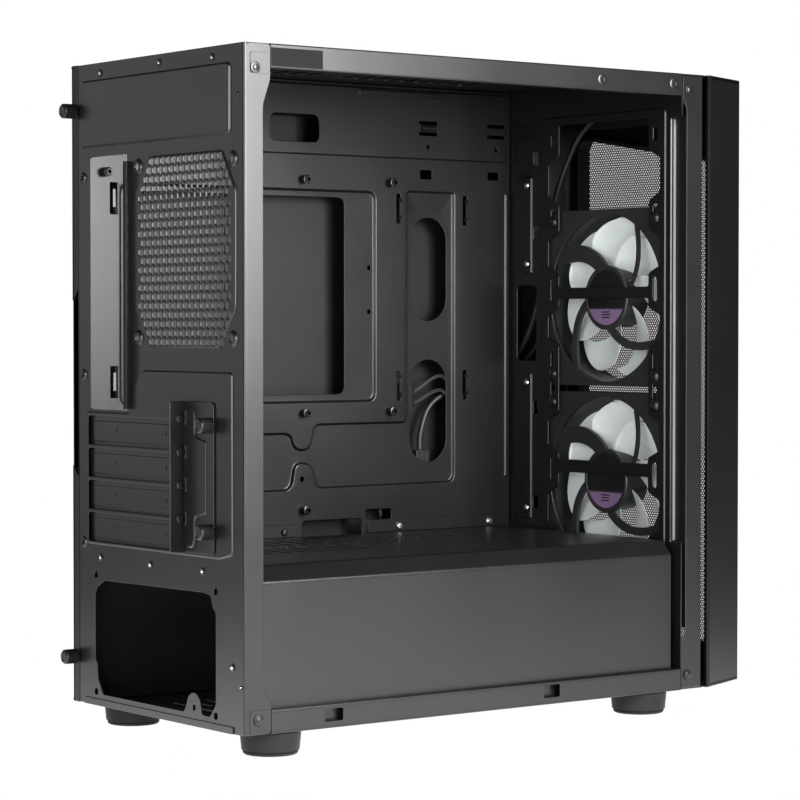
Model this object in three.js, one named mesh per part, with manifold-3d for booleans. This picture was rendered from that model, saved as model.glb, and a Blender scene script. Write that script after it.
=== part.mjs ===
// A micro-ATX desktop computer tower with its left side panel off.
// Millimetres. The front faces -Y, the open left side faces -X, and +Z is up.
// Inside this file x runs from the open side to the right, y from the rear panel (0) forward (negative),
// and z from the underside of the chassis up. The last group moves the origin to the middle of the base.
import * as THREE from "three";
import { mergeVertices } from "three/addons/utils/BufferGeometryUtils.js";
import Module from "manifold-3d";

const wasm = await Module();
wasm.setup();

// ---- Driving dimensions ----
const CHASSIS_WIDTH = 190;
const CHASSIS_HEIGHT = 405;
const CHASSIS_DEPTH = 366;
const CASE_WIDTH = 198; // with the right side panel
const SHEET = 1; // steel sheet, paint included
const GAP = 0.3; // clearance between neighbouring pieces
const RAIL_HEIGHT = 14.5;
const TOP_LIP = 10; // how far each rail's lip reaches inwards
const BOTTOM_LIP = 4.4;
const PILLAR = 14; // depth of the rear pillar's flange
const PILLAR_AT_CORNER = 18.6;
const FOOT_HEIGHT = 14.5;
const FOOT_RADIUS = 18.5;
const FOOT_X = [19.5, 175.5];
const FOOT_Y = [-31.3, -324.6];

const IO_SIZE = { x: 44.45, z: 158.75 };
const IO_RIGHT_X = 174.7;
const IO_MIDDLE_Z = 266.7;
const REAR_FAN = { x: 64, z: 284.9 };
const FAN_HOLES = 105; // screw spacing of a 120 mm fan
const SLOT_PITCH = 20.32;
const SLOT_TOP_Z = 183.9;
const SLOT_X = [66, 176.8];
const PSU = { x: 100.1, z: 45.9, holesX: 138, holesZ: 74 };

const TRAY_X = 178.7; // face of the tray that carries the board
const STANDOFF_HEIGHT = 6.35;
const STANDOFF_Y = [-12.7, -166.5, -238.8];
const STANDOFF_Z = [337.5, 181.5, 116.4];
const SHROUD_X = 5;
const SHROUD_TOP = 98.5;
const SHROUD_BEVEL = 9.3;
const FRONT_PLATE_Y = -346; // front face of the plate that the fans sit on
const FRONT_FAN_X = 78.5;
const FRONT_FAN_Z = { upper: 258.9, lower: 134.5 };
const FAN_SIZE = 120;
const FAN_DEPTH = 25;
const FAN_BORE = 57;
const FAN_HUB = 21;

const BEZEL_REAR = -367.3;
const BEZEL_FRONT = -413.5;
const BEZEL_BEVEL = 18;
const BEZEL_WALL = 2.5;
const MESH_Y = -402;
const PORT_Y = -391; // line of the ports and buttons on the bezel's top
const RETAINER_Z = [104.5, 195];
const RETAINER_X = [29.7, 62.6];
const RETAINER_SCREW_X = 33.1;
const RETAINER_SCREW_Z = { upper: 181.1, lower: 118 };
const PANEL_SCREW_X = 193.2;
const PANEL_SCREW_Z = { upper: 376, lower: 29 };
const THUMB_HEAD = { radius: 4.8, length: 9.5 };
const SCREW_SHANK = 1.75;
const SCREW_CLEARANCE = 2.3; // radius of a clearance hole
const IO_LIP = { x: [124.3, 125.3], z: [189, 340.5], proud: 5.3 };
const EAR = { right: 196.2, front: -3.4, rear: -2.2, half: 8 }; // tabs that the panel thumbscrews enter
const COVER_SHEET = 0.9;
const VENT_PITCH = { top: 12.5, bottom: 12, shroud: 12, rear: 13.4, front: 29 };
const CAGE = { x: [34, 150], y: [-332, -232], top: 84, ledges: [28, 56] };
const GRIP = { reach: 2, z: [148, 259] };
const ROUND = 24; // sides of a medium circle
const SMALL_ROUND = 12; // sides of a screw hole

// ---- Materials ----
const paint = (color, roughness, metalness) =>
  new THREE.MeshStandardMaterial({ color, roughness, metalness });
const steel = paint(0x1c1c1d, 0.55, 0.4);
const plastic = paint(0x141415, 0.6, 0);
const fanPlastic = paint(0x0d0d0e, 0.5, 0);
const blade = paint(0xdfe6e6, 0.35, 0);
const meshSteel = paint(0x101011, 0.5, 0.4);
const screwBlack = paint(0x0a0a0a, 0.4, 0.6);
const rubber = paint(0x161616, 0.8, 0);
const leadRubber = paint(0x0c0c0c, 0.7, 0);
const bareSteel = paint(0xa8a8aa, 0.35, 1);

// ---- Shapes ----
function solidOf(geometry) {
  const bare = new THREE.BufferGeometry();
  bare.setAttribute("position", geometry.getAttribute("position"));
  if (geometry.index) bare.setIndex(geometry.index);
  const merged = mergeVertices(bare, 1e-4);
  const vertProperties = merged.attributes.position.array;
  const triVerts = new Uint32Array(merged.index.array);
  const made = new wasm.Manifold(new wasm.Mesh({ numProp: 3, vertProperties, triVerts }));
  if (made.volume() > 0) return made;
  triVerts.reverse(); // a profile drawn the other way round
  return new wasm.Manifold(new wasm.Mesh({ numProp: 3, vertProperties, triVerts }));
}

function block([x0, x1], [y0, y1], [z0, z1]) {
  const geometry = new THREE.BoxGeometry(x1 - x0, y1 - y0, z1 - z0);
  geometry.translate((x0 + x1) / 2, (y0 + y1) / 2, (z0 + z1) / 2);
  return solidOf(geometry);
}

// An outline extruded along an axis. Outlines are lists of [a, b]: (y, z) for x, (x, z) for y, (x, y) for z.
function prism(axis, outline, [low, high]) {
  const shape = new THREE.Shape(outline.map(([a, b]) => new THREE.Vector2(a, b)));
  const geometry = new THREE.ExtrudeGeometry(shape, { depth: high - low, bevelEnabled: false });
  if (axis === "y") {
    geometry.rotateX(Math.PI / 2);
    geometry.translate(0, high, 0);
  } else if (axis === "x") {
    geometry.rotateX(Math.PI / 2);
    geometry.rotateZ(Math.PI / 2);
    geometry.translate(low, 0, 0);
  } else {
    geometry.translate(0, 0, low);
  }
  return solidOf(geometry);
}

function circle(a, b, radius, sides = SMALL_ROUND) {
  const points = [];
  for (let i = 0; i < sides; i++) {
    const turn = ((i + 0.5) / sides) * 2 * Math.PI;
    points.push([a + radius * Math.cos(turn), b + radius * Math.sin(turn)]);
  }
  return points;
}

function roundedRectangle([a0, a1], [b0, b1], radius, steps = 3) {
  const corners = [
    [a1 - radius, b1 - radius, 0],
    [a0 + radius, b1 - radius, 1],
    [a0 + radius, b0 + radius, 2],
    [a1 - radius, b0 + radius, 3],
  ];
  return corners.flatMap(([a, b, quarter]) =>
    Array.from({ length: steps + 1 }, (_, i) => {
      const turn = (quarter + i / steps) * (Math.PI / 2);
      return [a + radius * Math.cos(turn), b + radius * Math.sin(turn)];
    }),
  );
}

const middleAndHalf = (middle, half) => [middle - half, middle + half];
const joined = (solids) => solids.reduce((all, next) => all.add(next));
const without = (solid, cuts) => cuts.reduce((rest, cut) => rest.subtract(cut), solid);

// A turned piece: profile of [radius, distance] along +Y, closed on the axis.
function turned(profile, [x, y, z], sides = ROUND) {
  const points = profile.map(([radius, along]) => new THREE.Vector2(radius, along));
  const geometry = new THREE.LatheGeometry(points, sides);
  geometry.translate(x, y, z);
  return solidOf(geometry);
}

function upright(profile, [x, y, z], sides = ROUND) {
  const points = profile.map(([radius, along]) => new THREE.Vector2(radius, along));
  const geometry = new THREE.LatheGeometry(points, sides);
  geometry.rotateX(Math.PI / 2);
  geometry.translate(x, y, z);
  return solidOf(geometry);
}

function tube(points, radius, sides = 8, steps = 36) {
  const path = new THREE.CatmullRomCurve3(points.map((p) => new THREE.Vector3(...p)));
  const section = new THREE.Shape(
    circle(0, 0, radius, sides).map(([a, b]) => new THREE.Vector2(a, b)),
  );
  const options = { steps, extrudePath: path, bevelEnabled: false };
  return solidOf(new THREE.ExtrudeGeometry(section, options));
}

const tower = new THREE.Group();
function piece(name, solid, material) {
  const raw = solid.getMesh();
  const corners = new Float32Array(raw.vertProperties);
  const triangles = new Uint32Array(raw.triVerts);
  const geometry = new THREE.BufferGeometry();
  geometry.setAttribute("position", new THREE.BufferAttribute(corners, 3));
  geometry.setIndex(new THREE.BufferAttribute(triangles, 1));
  geometry.computeVertexNormals();
  const mesh = new THREE.Mesh(geometry, material);
  mesh.name = name;
  tower.add(mesh);
}

// ---- Chassis ----
const rearHole = (x, z, radius) => prism("y", circle(x, z, radius), [-5, 5]);
const fanCorners = (x, z) =>
  [-1, 1].flatMap((i) => [-1, 1].map((j) => [x + (i * FAN_HOLES) / 2, z + (j * FAN_HOLES) / 2]));

function rearFanSlots() {
  const slots = [];
  for (let row = -4; row <= 4; row++) {
    const half = 54 - Math.max(0, Math.abs(row) - 2) * 5; // shorter towards the field's chamfered corners
    const z = middleAndHalf(REAR_FAN.z + row * VENT_PITCH.rear, 4.2);
    slots.push(block(middleAndHalf(REAR_FAN.x, half), [-3, 3], z));
  }
  return slots;
}

const slotMiddleZ = (index) => SLOT_TOP_Z - SLOT_PITCH * (index + 0.5);
const SLOT_WINDOW = 18.2;

function rearPanel() {
  const cutOut = [
    [158.7, 79.8],
    [170, 73],
    [170, 29],
    [167, 17.6],
    [160, 7.8],
    [37.5, 7.8],
    [31.1, 17],
    [31.1, 71.1],
    [39.2, 79.8],
  ];
  const sheet = block([0, CHASSIS_WIDTH], [-SHEET, 0], [0, CHASSIS_HEIGHT]);
  const pillarOutline = [
    [0, 0],
    [0, CHASSIS_HEIGHT],
    [-PILLAR_AT_CORNER, CHASSIS_HEIGHT],
    [-PILLAR_AT_CORNER, 378],
    [-PILLAR, 368],
    [-PILLAR, 24],
    [-PILLAR_AT_CORNER, 18],
    [-PILLAR_AT_CORNER, 0],
  ];
  const pillar = prism("x", pillarOutline, [0, SHEET]);
  const rightEdge = [CHASSIS_WIDTH - SHEET, CHASSIS_WIDTH];
  const rightFlange = block(rightEdge, [-PILLAR, 0], [0, CHASSIS_HEIGHT]);
  const ears = Object.values(PANEL_SCREW_Z).map((z) =>
    block([rightEdge[0], EAR.right], [EAR.front, EAR.rear], middleAndHalf(z, EAR.half)),
  );
  const ioLip = block(IO_LIP.x, [-SHEET, IO_LIP.proud], IO_LIP.z);
  const shell = joined([sheet, pillar, rightFlange, ...ears, ioLip]);
  const cuts = [
    block([IO_RIGHT_X - IO_SIZE.x, IO_RIGHT_X], [-3, 3], middleAndHalf(IO_MIDDLE_Z, IO_SIZE.z / 2)),
    ...rearFanSlots(),
    prism("y", cutOut, [-3, 3]),
    ...fanCorners(REAR_FAN.x, REAR_FAN.z).map(([x, z]) => rearHole(x, z, 2.2)),
    ...Object.values(RETAINER_SCREW_Z).map((z) => rearHole(RETAINER_SCREW_X, z, SCREW_CLEARANCE)),
    ...Object.values(PANEL_SCREW_Z).map((z) => rearHole(PANEL_SCREW_X, z, SCREW_CLEARANCE)),
  ];
  for (const i of [-1, 1]) {
    for (const j of [-1, 1]) {
      cuts.push(rearHole(PSU.x + (i * PSU.holesX) / 2, PSU.z + (j * PSU.holesZ) / 2, 1.9));
    }
  }
  for (let index = 0; index < 4; index++) {
    cuts.push(block(SLOT_X, [-3, 3], middleAndHalf(slotMiddleZ(index), SLOT_WINDOW / 2)));
  }
  return without(shell, cuts);
}
piece("rear_panel", rearPanel(), steel);

for (let index = 0; index < 4; index++) {
  const [x0, x1] = SLOT_X;
  const back = -SHEET - GAP - COVER_SHEET;
  const z = slotMiddleZ(index);
  const cover = block([x0 - 3, x1 + 0.8], [back, back + COVER_SHEET], middleAndHalf(z, 9.8));
  const stiffener = block([x0 + 6, x1 - 6], [back, -0.5], middleAndHalf(z, 6));
  piece(`slot_cover_${index + 1}`, cover.add(stiffener), steel);
}

// The rails that carry the left side panel: an upright strip with a lip folded inwards.
const RAIL_Y = [FRONT_PLATE_Y + SHEET + 0.4, -PILLAR_AT_CORNER - GAP];
function rail(z0, z1, lipZ, lip) {
  return block([0, SHEET], RAIL_Y, [z0, z1]).add(block([0, lip], RAIL_Y, [lipZ, lipZ + SHEET]));
}

const INNER_Y = [-CHASSIS_DEPTH, -SHEET - GAP];
const INNER_X = [SHEET + GAP, CHASSIS_WIDTH - SHEET - GAP];

function topPanel() {
  const z1 = CHASSIS_HEIGHT;
  const sheet = block(INNER_X, INNER_Y, [z1 - SHEET, z1]);
  const edge = block([0, INNER_X[0] + 1], RAIL_Y, [z1 - SHEET, z1]);
  const cuts = [];
  for (const middle of [-95, -225]) {
    for (let row = -4; row <= 4; row++) {
      const y = middleAndHalf(middle + row * VENT_PITCH.top, 3.6);
      cuts.push(block([40, 150], y, [z1 - 3, z1 + 3]));
    }
  }
  const leftRail = rail(z1 - RAIL_HEIGHT, z1, z1 - RAIL_HEIGHT, TOP_LIP);
  return without(joined([sheet, edge, leftRail]), cuts);
}
piece("top_panel", topPanel(), steel);

function bottomPanel() {
  const sheet = block(INNER_X, INNER_Y, [0, SHEET]);
  const edge = block([0, INNER_X[0] + 1], RAIL_Y, [0, SHEET]);
  const cuts = [
    block([-3, 3], [-70.8, -57.6], [4.1, 11.6]),
    block([-3, 3], [-240.4, -227.3], [4.4, 12.3]),
  ];
  for (let row = 0; row < 9; row++) {
    cuts.push(block([52, 143], middleAndHalf(-40 - row * VENT_PITCH.bottom, 3.4), [-3, 3]));
  }
  const leftRail = rail(0, RAIL_HEIGHT, RAIL_HEIGHT - SHEET, BOTTOM_LIP);
  return without(joined([sheet, edge, leftRail]), cuts);
}
piece("bottom_panel", bottomPanel(), steel);

function motherboardTray() {
  const sheet = block([TRAY_X, TRAY_X + SHEET], [-344.6, -SHEET - GAP - 1], [SHEET + GAP, 404 - GAP]);
  const through = [TRAY_X - 5, TRAY_X + 5];
  const cuts = [
    prism("x", roundedRectangle([-201.8, -38], [193.7, 326.3], 5), through),
    prism("x", roundedRectangle([-289.1, -257.4], [243.2, 314.4], 15.8), through),
    prism("x", roundedRectangle([-289.1, -257.4], [145.5, 216.2], 15.8), through),
    prism("x", roundedRectangle([-179, -138.9], [362.6, 381], 5), through),
    prism("x", roundedRectangle([-215, -165], [88, 109], 3), through),
  ];
  return without(sheet, cuts);
}
piece("motherboard_tray", motherboardTray(), steel);

STANDOFF_Y.forEach((y, column) =>
  STANDOFF_Z.forEach((z, row) => {
    if (column === 2 && row === 2) return; // this board size has no ninth fixing
    const post = prism("x", circle(y, z, 3.2, 6), [TRAY_X - GAP - STANDOFF_HEIGHT, TRAY_X - GAP]);
    const bore = prism("x", circle(y, z, 1.4, 8), [TRAY_X - 8, TRAY_X - 2]);
    piece(`standoff_${column * 3 + row + 1}`, post.subtract(bore), screwBlack);
  }),
);

function frontChassisPanel() {
  const top = CHASSIS_HEIGHT - SHEET - GAP;
  const bottom = SHEET + GAP;
  const plateY = [FRONT_PLATE_Y, FRONT_PLATE_Y + SHEET];
  const plate = block([0, CHASSIS_WIDTH], plateY, [bottom, top]);
  const flangeY = [-362.4, plateY[1]];
  const pillar = block([0, SHEET], flangeY, [bottom, top]);
  const rightFlange = block([CHASSIS_WIDTH - SHEET, CHASSIS_WIDTH], flangeY, [bottom, top]);
  const shell = joined([plate, pillar, rightFlange]);
  const through = [FRONT_PLATE_Y - 5, FRONT_PLATE_Y + 5];
  const narrow = middleAndHalf(FRONT_FAN_X, 46);
  const wide = middleAndHalf(FRONT_FAN_X, 57.2);
  const wideRows = [
    [330, 351],
    [279, 299],
    [231, 246],
    [157, 174],
    [104, 125],
  ];
  const bars = [
    [258.3, 265.9],
    [139, 147.7],
  ];
  let opening = block(narrow, through, [84, 378]);
  for (const row of wideRows) opening = opening.add(block(wide, through, row));
  for (const bar of bars) opening = opening.subtract(block([0, CHASSIS_WIDTH], [-400, 0], bar));
  const cuts = [
    opening,
    prism("y", roundedRectangle([150, 171], [215, 268], 4), through),
    block([180.2, 188.6], through, [186, 232]), // where the leads pass behind the tray
  ];
  for (const z of Object.values(FRONT_FAN_Z)) {
    for (const [x, h] of fanCorners(FRONT_FAN_X, z)) {
      cuts.push(prism("y", circle(x, h, SCREW_CLEARANCE), through));
    }
  }
  return without(shell, cuts);
}
piece("front_chassis_panel", frontChassisPanel(), steel);

function psuShroud() {
  const x0 = SHROUD_X;
  const x1 = TRAY_X - GAP;
  const bevelZ = SHROUD_TOP - SHROUD_BEVEL;
  const bevelX = x0 + SHROUD_BEVEL;
  const foot = SHEET + GAP;
  const outline = [
    [x0, foot],
    [x0, bevelZ],
    [bevelX, SHROUD_TOP],
    [x1 - SHEET, SHROUD_TOP],
    [x1 - SHEET, 107.5],
    [x1, 107.5],
    [x1, SHROUD_TOP - SHEET],
    [bevelX + 0.4, SHROUD_TOP - SHEET],
    [x0 + SHEET, bevelZ - 0.4],
    [x0 + SHEET, foot],
  ];
  const sheet = prism("y", outline, [-340, -SHEET - GAP - 2]);
  const cuts = [];
  for (let row = 0; row < 8; row++) {
    const y = middleAndHalf(-60 - row * VENT_PITCH.shroud, 2.5);
    cuts.push(block([60, 165], y, [SHROUD_TOP - 3, SHROUD_TOP + 3]));
  }
  const cableGap = block([165, 190], [-215, -165], [SHROUD_TOP - 3, 120]);
  return without(sheet, [...cuts, cableGap]);
}
piece("psu_shroud", psuShroud(), steel);

function driveCage() {
  const [x0, x1] = CAGE.x;
  const foot = SHEET + 2 * GAP;
  const outline = [
    [x0, foot],
    [x0, CAGE.top],
    [x1, CAGE.top],
    [x1, foot],
    [x1 - SHEET, foot],
    [x1 - SHEET, CAGE.top - SHEET],
    [x0 + SHEET, CAGE.top - SHEET],
    [x0 + SHEET, foot],
  ];
  const sheet = prism("y", outline, CAGE.y);
  const ledges = CAGE.ledges.flatMap((z) => [
    block([x0 + SHEET / 2, x0 + 8], CAGE.y, [z, z + SHEET]),
    block([x1 - 8, x1 - SHEET / 2], CAGE.y, [z, z + SHEET]),
  ]);
  return joined([sheet, ...ledges]);
}
piece("drive_cage", driveCage(), steel);

// ---- Right side panel ----
function rightSidePanel() {
  const x0 = CHASSIS_WIDTH + GAP;
  const x1 = CASE_WIDTH;
  const y = [-CHASSIS_DEPTH, 0];
  const z = [0, CHASSIS_HEIGHT];
  const pan = block([x0, x1], y, z).subtract(
    block([x0 - 1, x1 - SHEET], [y[0] + SHEET, y[1] - SHEET], [z[0] + SHEET, z[1] - SHEET]),
  );
  const grip = block([x0 - 1, x1 - SHEET], [-GRIP.reach, 1], GRIP.z);
  const holes = Object.values(PANEL_SCREW_Z).map((height) =>
    rearHole(PANEL_SCREW_X, height, SCREW_CLEARANCE),
  );
  return without(pan, [grip, ...holes]);
}
piece("right_side_panel", rightSidePanel(), steel);

// ---- Slot retainer ----
function slotRetainer() {
  const y0 = GAP;
  const [x0, x1] = RETAINER_X;
  const plate = block([x0, x1], [y0, y0 + SHEET], RETAINER_Z);
  const ledge = block([x1 - SHEET, x1], [y0, 12.2], RETAINER_Z);
  const slots = Object.values(RETAINER_SCREW_Z).map((z) =>
    block([RETAINER_SCREW_X - 2.2, RETAINER_SCREW_X + 14.4], [-2, 4], middleAndHalf(z, 2.2)),
  );
  return without(plate.add(ledge), slots);
}
piece("slot_retainer", slotRetainer(), steel);

function thumbscrew([x, y, z]) {
  const { radius, length } = THUMB_HEAD;
  const profile = [
    [0, -6],
    [SCREW_SHANK, -6],
    [SCREW_SHANK, 0],
    [radius - 0.8, 0],
    [radius, 1],
    [radius, length - 1],
    [radius - 1, length],
    [0, length],
  ];
  const cross = [
    block(middleAndHalf(x, 2.6), [y + length - 2, y + length + 1], middleAndHalf(z, 0.6)),
    block(middleAndHalf(x, 0.6), [y + length - 2, y + length + 1], middleAndHalf(z, 2.6)),
  ];
  return without(turned(profile, [x, y, z], 16), cross);
}
for (const [level, z] of Object.entries(RETAINER_SCREW_Z)) {
  const screw = thumbscrew([RETAINER_SCREW_X, 2 * GAP + SHEET, z]);
  piece(`retainer_thumbscrew_${level}`, screw, screwBlack);
}
for (const [level, z] of Object.entries(PANEL_SCREW_Z)) {
  piece(`panel_thumbscrew_${level}`, thumbscrew([PANEL_SCREW_X, GAP, z]), screwBlack);
}

// ---- Front fans ----
const FAN_REAR_Y = FRONT_PLATE_Y - GAP;
const fanOutline = (half, z) =>
  roundedRectangle(middleAndHalf(FRONT_FAN_X, half), middleAndHalf(z, half), 6, 2);

function fanFrame(z) {
  const y = [FAN_REAR_Y - FAN_DEPTH, FAN_REAR_Y];
  const body = prism("y", fanOutline(FAN_SIZE / 2, z), y);
  const bore = prism("y", circle(FRONT_FAN_X, z, FAN_BORE, 36), [y[0] - 1, y[1] + 1]);
  const waist = without(
    prism("y", fanOutline(FAN_SIZE / 2 + 3, z), [y[0] + 4, y[1] - 4]),
    [prism("y", circle(FRONT_FAN_X, z, FAN_BORE + 2, 36), [y[0], y[1]])],
  );
  const motorY = [FAN_REAR_Y - 4, FAN_REAR_Y - 1];
  const motor = prism("y", circle(FRONT_FAN_X, z, FAN_HUB, ROUND), motorY);
  const struts = [0, 1, 2, 3].map((i) => {
    const strut = new THREE.BoxGeometry(FAN_BORE - FAN_HUB + 6, 3, 5);
    strut.translate((FAN_BORE + FAN_HUB) / 2, 0, 0);
    strut.rotateY((i + 0.35) * (Math.PI / 2));
    strut.translate(FRONT_FAN_X, FAN_REAR_Y - 2.5, z);
    return solidOf(strut);
  });
  const ring = without(body, [bore, waist]);
  const holes = fanCorners(FRONT_FAN_X, z).map(([x, h]) => prism("y", circle(x, h, 2.2), [-400, -300]));
  return without(joined([ring, motor, ...struts]), holes);
}

// A rotor blade: a swept outline, raised along the axis in proportion to its angle, so that it is helical.
const BLADES = 7;
const BLADE_TIP = 54.5;
const BLADE_ROOT = 18;
const BLADE_LEAD = 17;
function rotorBlade(index, z) {
  const steps = 6;
  const along = (radius, share) => {
    const sweep = 0.5 * ((radius - BLADE_ROOT) / (BLADE_TIP - BLADE_ROOT));
    const angle = -0.36 + 0.72 * share + sweep;
    return [radius * Math.cos(angle), radius * Math.sin(angle)];
  };
  const outline = [];
  for (let i = 0; i <= steps; i++) outline.push(along(BLADE_TIP, i / steps));
  for (let i = steps; i >= 0; i--) outline.push(along(BLADE_ROOT, i / steps));
  const shape = new THREE.Shape(outline.map(([a, b]) => new THREE.Vector2(a, b)));
  const geometry = new THREE.ExtrudeGeometry(shape, { depth: 1.6, bevelEnabled: false });
  const position = geometry.getAttribute("position");
  for (let i = 0; i < position.count; i++) {
    const radius = Math.hypot(position.getX(i), position.getY(i));
    const sweep = 0.5 * ((radius - BLADE_ROOT) / (BLADE_TIP - BLADE_ROOT));
    const angle = Math.atan2(position.getY(i), position.getX(i)) - sweep;
    position.setZ(i, position.getZ(i) + angle * BLADE_LEAD);
  }
  geometry.rotateX(Math.PI / 2);
  geometry.rotateY((index * 2 * Math.PI) / BLADES);
  geometry.translate(FRONT_FAN_X, FAN_REAR_Y - 14, z);
  return solidOf(geometry);
}

function fanRotor(z) {
  const hubY = [FAN_REAR_Y - 23, FAN_REAR_Y - 4.6];
  const hub = prism("y", circle(FRONT_FAN_X, z, FAN_HUB - 1, ROUND), hubY);
  const blades = Array.from({ length: BLADES }, (_, index) => rotorBlade(index, z));
  return joined([hub, ...blades]);
}

function fanScrew([x, z]) {
  const profile = [
    [0, -9],
    [1.9, -9],
    [1.9, 0],
    [3.9, 0],
    [3.9, 0.9],
    [2.4, 2.2],
    [0, 2.4],
  ];
  return turned(profile, [x, FRONT_PLATE_Y + SHEET + GAP, z], SMALL_ROUND);
}

for (const [level, z] of Object.entries(FRONT_FAN_Z)) {
  piece(`fan_frame_${level}`, fanFrame(z), fanPlastic);
  piece(`fan_rotor_${level}`, fanRotor(z), blade);
  fanCorners(FRONT_FAN_X, z).forEach((corner, index) =>
    piece(`fan_screw_${level}_${index + 1}`, fanScrew(corner), screwBlack),
  );
}

// ---- Front bezel ----
function bezelOutline(inset) {
  const back = BEZEL_REAR + (inset ? 1 : 0);
  const slope = inset * 0.45;
  return [
    [inset, back],
    [inset, BEZEL_REAR - 2 - slope],
    [BEZEL_BEVEL + inset * 0.7, BEZEL_FRONT + inset],
    [CASE_WIDTH - BEZEL_BEVEL - inset * 0.7, BEZEL_FRONT + inset],
    [CASE_WIDTH - inset, BEZEL_REAR - 2 - slope],
    [CASE_WIDTH - inset, back],
  ];
}

// The intake window: its top edge slopes up to the right.
const meshOutline = (grow) => [
  [27 - grow, 24 - grow],
  [171 + grow, 24 - grow],
  [171 + grow, 368 + grow],
  [164 + grow, 373 + grow],
  [34 - grow, 351.6 + grow],
  [27 - grow, 345 + grow],
];

const PORTS = { power: 46, reset: 66, usb1: 92, usb2: 114, audio: 136 };

function frontBezel() {
  const z = [0, CHASSIS_HEIGHT];
  const shell = prism("z", bezelOutline(0), z).subtract(
    prism("z", bezelOutline(BEZEL_WALL), [z[0] + BEZEL_WALL, z[1] - BEZEL_WALL]),
  );
  const tunnel = prism("y", meshOutline(BEZEL_WALL), [BEZEL_FRONT + 1, MESH_Y - GAP]);
  const window = prism("y", meshOutline(0), [BEZEL_FRONT - 5, MESH_Y + 5]);
  const topHole = (outline) => prism("z", outline, [z[1] - 10, z[1] + 5]);
  const cuts = [
    window,
    topHole(circle(PORTS.power, PORT_Y, 7.3, ROUND)),
    topHole(circle(PORTS.reset, PORT_Y, 3.3, 16)),
    ...[PORTS.usb1, PORTS.usb2].map((x) =>
      topHole(roundedRectangle(middleAndHalf(x, 7.1), middleAndHalf(PORT_Y, 3.4), 0.8, 2)),
    ),
    topHole(circle(PORTS.audio, PORT_Y, 4.3, 16)),
  ];
  return without(shell.add(tunnel), cuts);
}
piece("front_bezel", frontBezel(), plastic);

function frontMesh() {
  const plate = prism("y", meshOutline(BEZEL_WALL - 0.5), [MESH_Y, MESH_Y + SHEET]);
  const cuts = [];
  for (let row = 0; row < 11; row++) {
    const z = middleAndHalf(45 + row * VENT_PITCH.front, 10);
    cuts.push(block([34, 164], [MESH_Y - 3, MESH_Y + 3], z));
  }
  return without(plate, cuts);
}
piece("front_mesh", frontMesh(), meshSteel);

// ---- Front input and output ----
const UNDER_TOP = CHASSIS_HEIGHT - BEZEL_WALL - GAP; // just below the bezel's top wall
const IO_BOARD_TOP = 391;
piece(
  "io_module",
  block([34, 146], middleAndHalf(PORT_Y, 9), [378, IO_BOARD_TOP]),
  plastic,
);

function button(x, radius, height) {
  const profile = [
    [0, IO_BOARD_TOP + 3],
    [radius, IO_BOARD_TOP + 3],
    [radius + 1.6, UNDER_TOP - 2.2],
    [radius + 1.6, UNDER_TOP],
    [radius, UNDER_TOP],
    [radius, CHASSIS_HEIGHT + height - 0.6],
    [radius - 0.6, CHASSIS_HEIGHT + height],
    [0, CHASSIS_HEIGHT + height],
  ];
  return upright(profile, [x, PORT_Y, 0], ROUND);
}
piece("power_button", button(PORTS.power, 6.9, 0.8), plastic);
piece("reset_button", button(PORTS.reset, 2.9, 0.4), plastic);

function usbPort(x) {
  const top = CHASSIS_HEIGHT - 0.2;
  const floor = IO_BOARD_TOP + GAP;
  const shell = block(middleAndHalf(x, 6.7), middleAndHalf(PORT_Y, 3), [floor, top]);
  const mouth = block(middleAndHalf(x, 6.1), middleAndHalf(PORT_Y, 2.4), [floor + 1.7, top + 2]);
  const tongue = block(middleAndHalf(x, 5.6), [PORT_Y + 0.3, PORT_Y + 2], [floor + 0.7, top - 1.3]);
  return shell.subtract(mouth).add(tongue);
}
piece("usb_port_1", usbPort(PORTS.usb1), bareSteel);
piece("usb_port_2", usbPort(PORTS.usb2), bareSteel);

const jack = upright(
  [
    [0, IO_BOARD_TOP + GAP],
    [3.9, IO_BOARD_TOP + GAP],
    [3.9, CHASSIS_HEIGHT - 0.2],
    [1.8, CHASSIS_HEIGHT - 0.2],
    [1.8, IO_BOARD_TOP + 2],
    [0, IO_BOARD_TOP + 2],
  ],
  [PORTS.audio, PORT_Y, 0],
  16,
);
piece("audio_jack", jack, bareSteel);

// ---- Feet, filters and frame screws ----
function foot(x, y) {
  const profile = [
    [0, -FOOT_HEIGHT],
    [FOOT_RADIUS - 2.5, -FOOT_HEIGHT],
    [FOOT_RADIUS - 1.2, -FOOT_HEIGHT + 1.2],
    [FOOT_RADIUS, -GAP - 1],
    [FOOT_RADIUS - 0.6, -GAP],
    [0, -GAP],
  ];
  return upright(profile, [x, y, 0], ROUND);
}
const FOOT_NAMES = ["foot_rear_left", "foot_front_left", "foot_rear_right", "foot_front_right"];
FOOT_X.forEach((x, i) =>
  FOOT_Y.forEach((y, j) => piece(FOOT_NAMES[i * 2 + j], foot(x, y), rubber)),
);

function sievePlate([x0, x1], [y0, y1], z, rows) {
  const plate = block([x0, x1], [y0, y1], z);
  const pitch = (y1 - y0 - 12) / rows;
  const cuts = [];
  for (let row = 0; row < rows; row++) {
    const y = y0 + 6 + (row + 0.5) * pitch;
    cuts.push(block([x0 + 7, x1 - 7], middleAndHalf(y, pitch * 0.3), [z[0] - 2, z[1] + 2]));
  }
  return without(plate, cuts);
}
piece("psu_dust_filter", sievePlate([44, 151], [-150, -20], [-2.5, -GAP], 5), plastic);
const FILTER_Z = [CHASSIS_HEIGHT + GAP, CHASSIS_HEIGHT + 1.5];
piece("top_dust_filter", sievePlate([28, 162], [-290, -30], FILTER_Z, 8), plastic);

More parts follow.
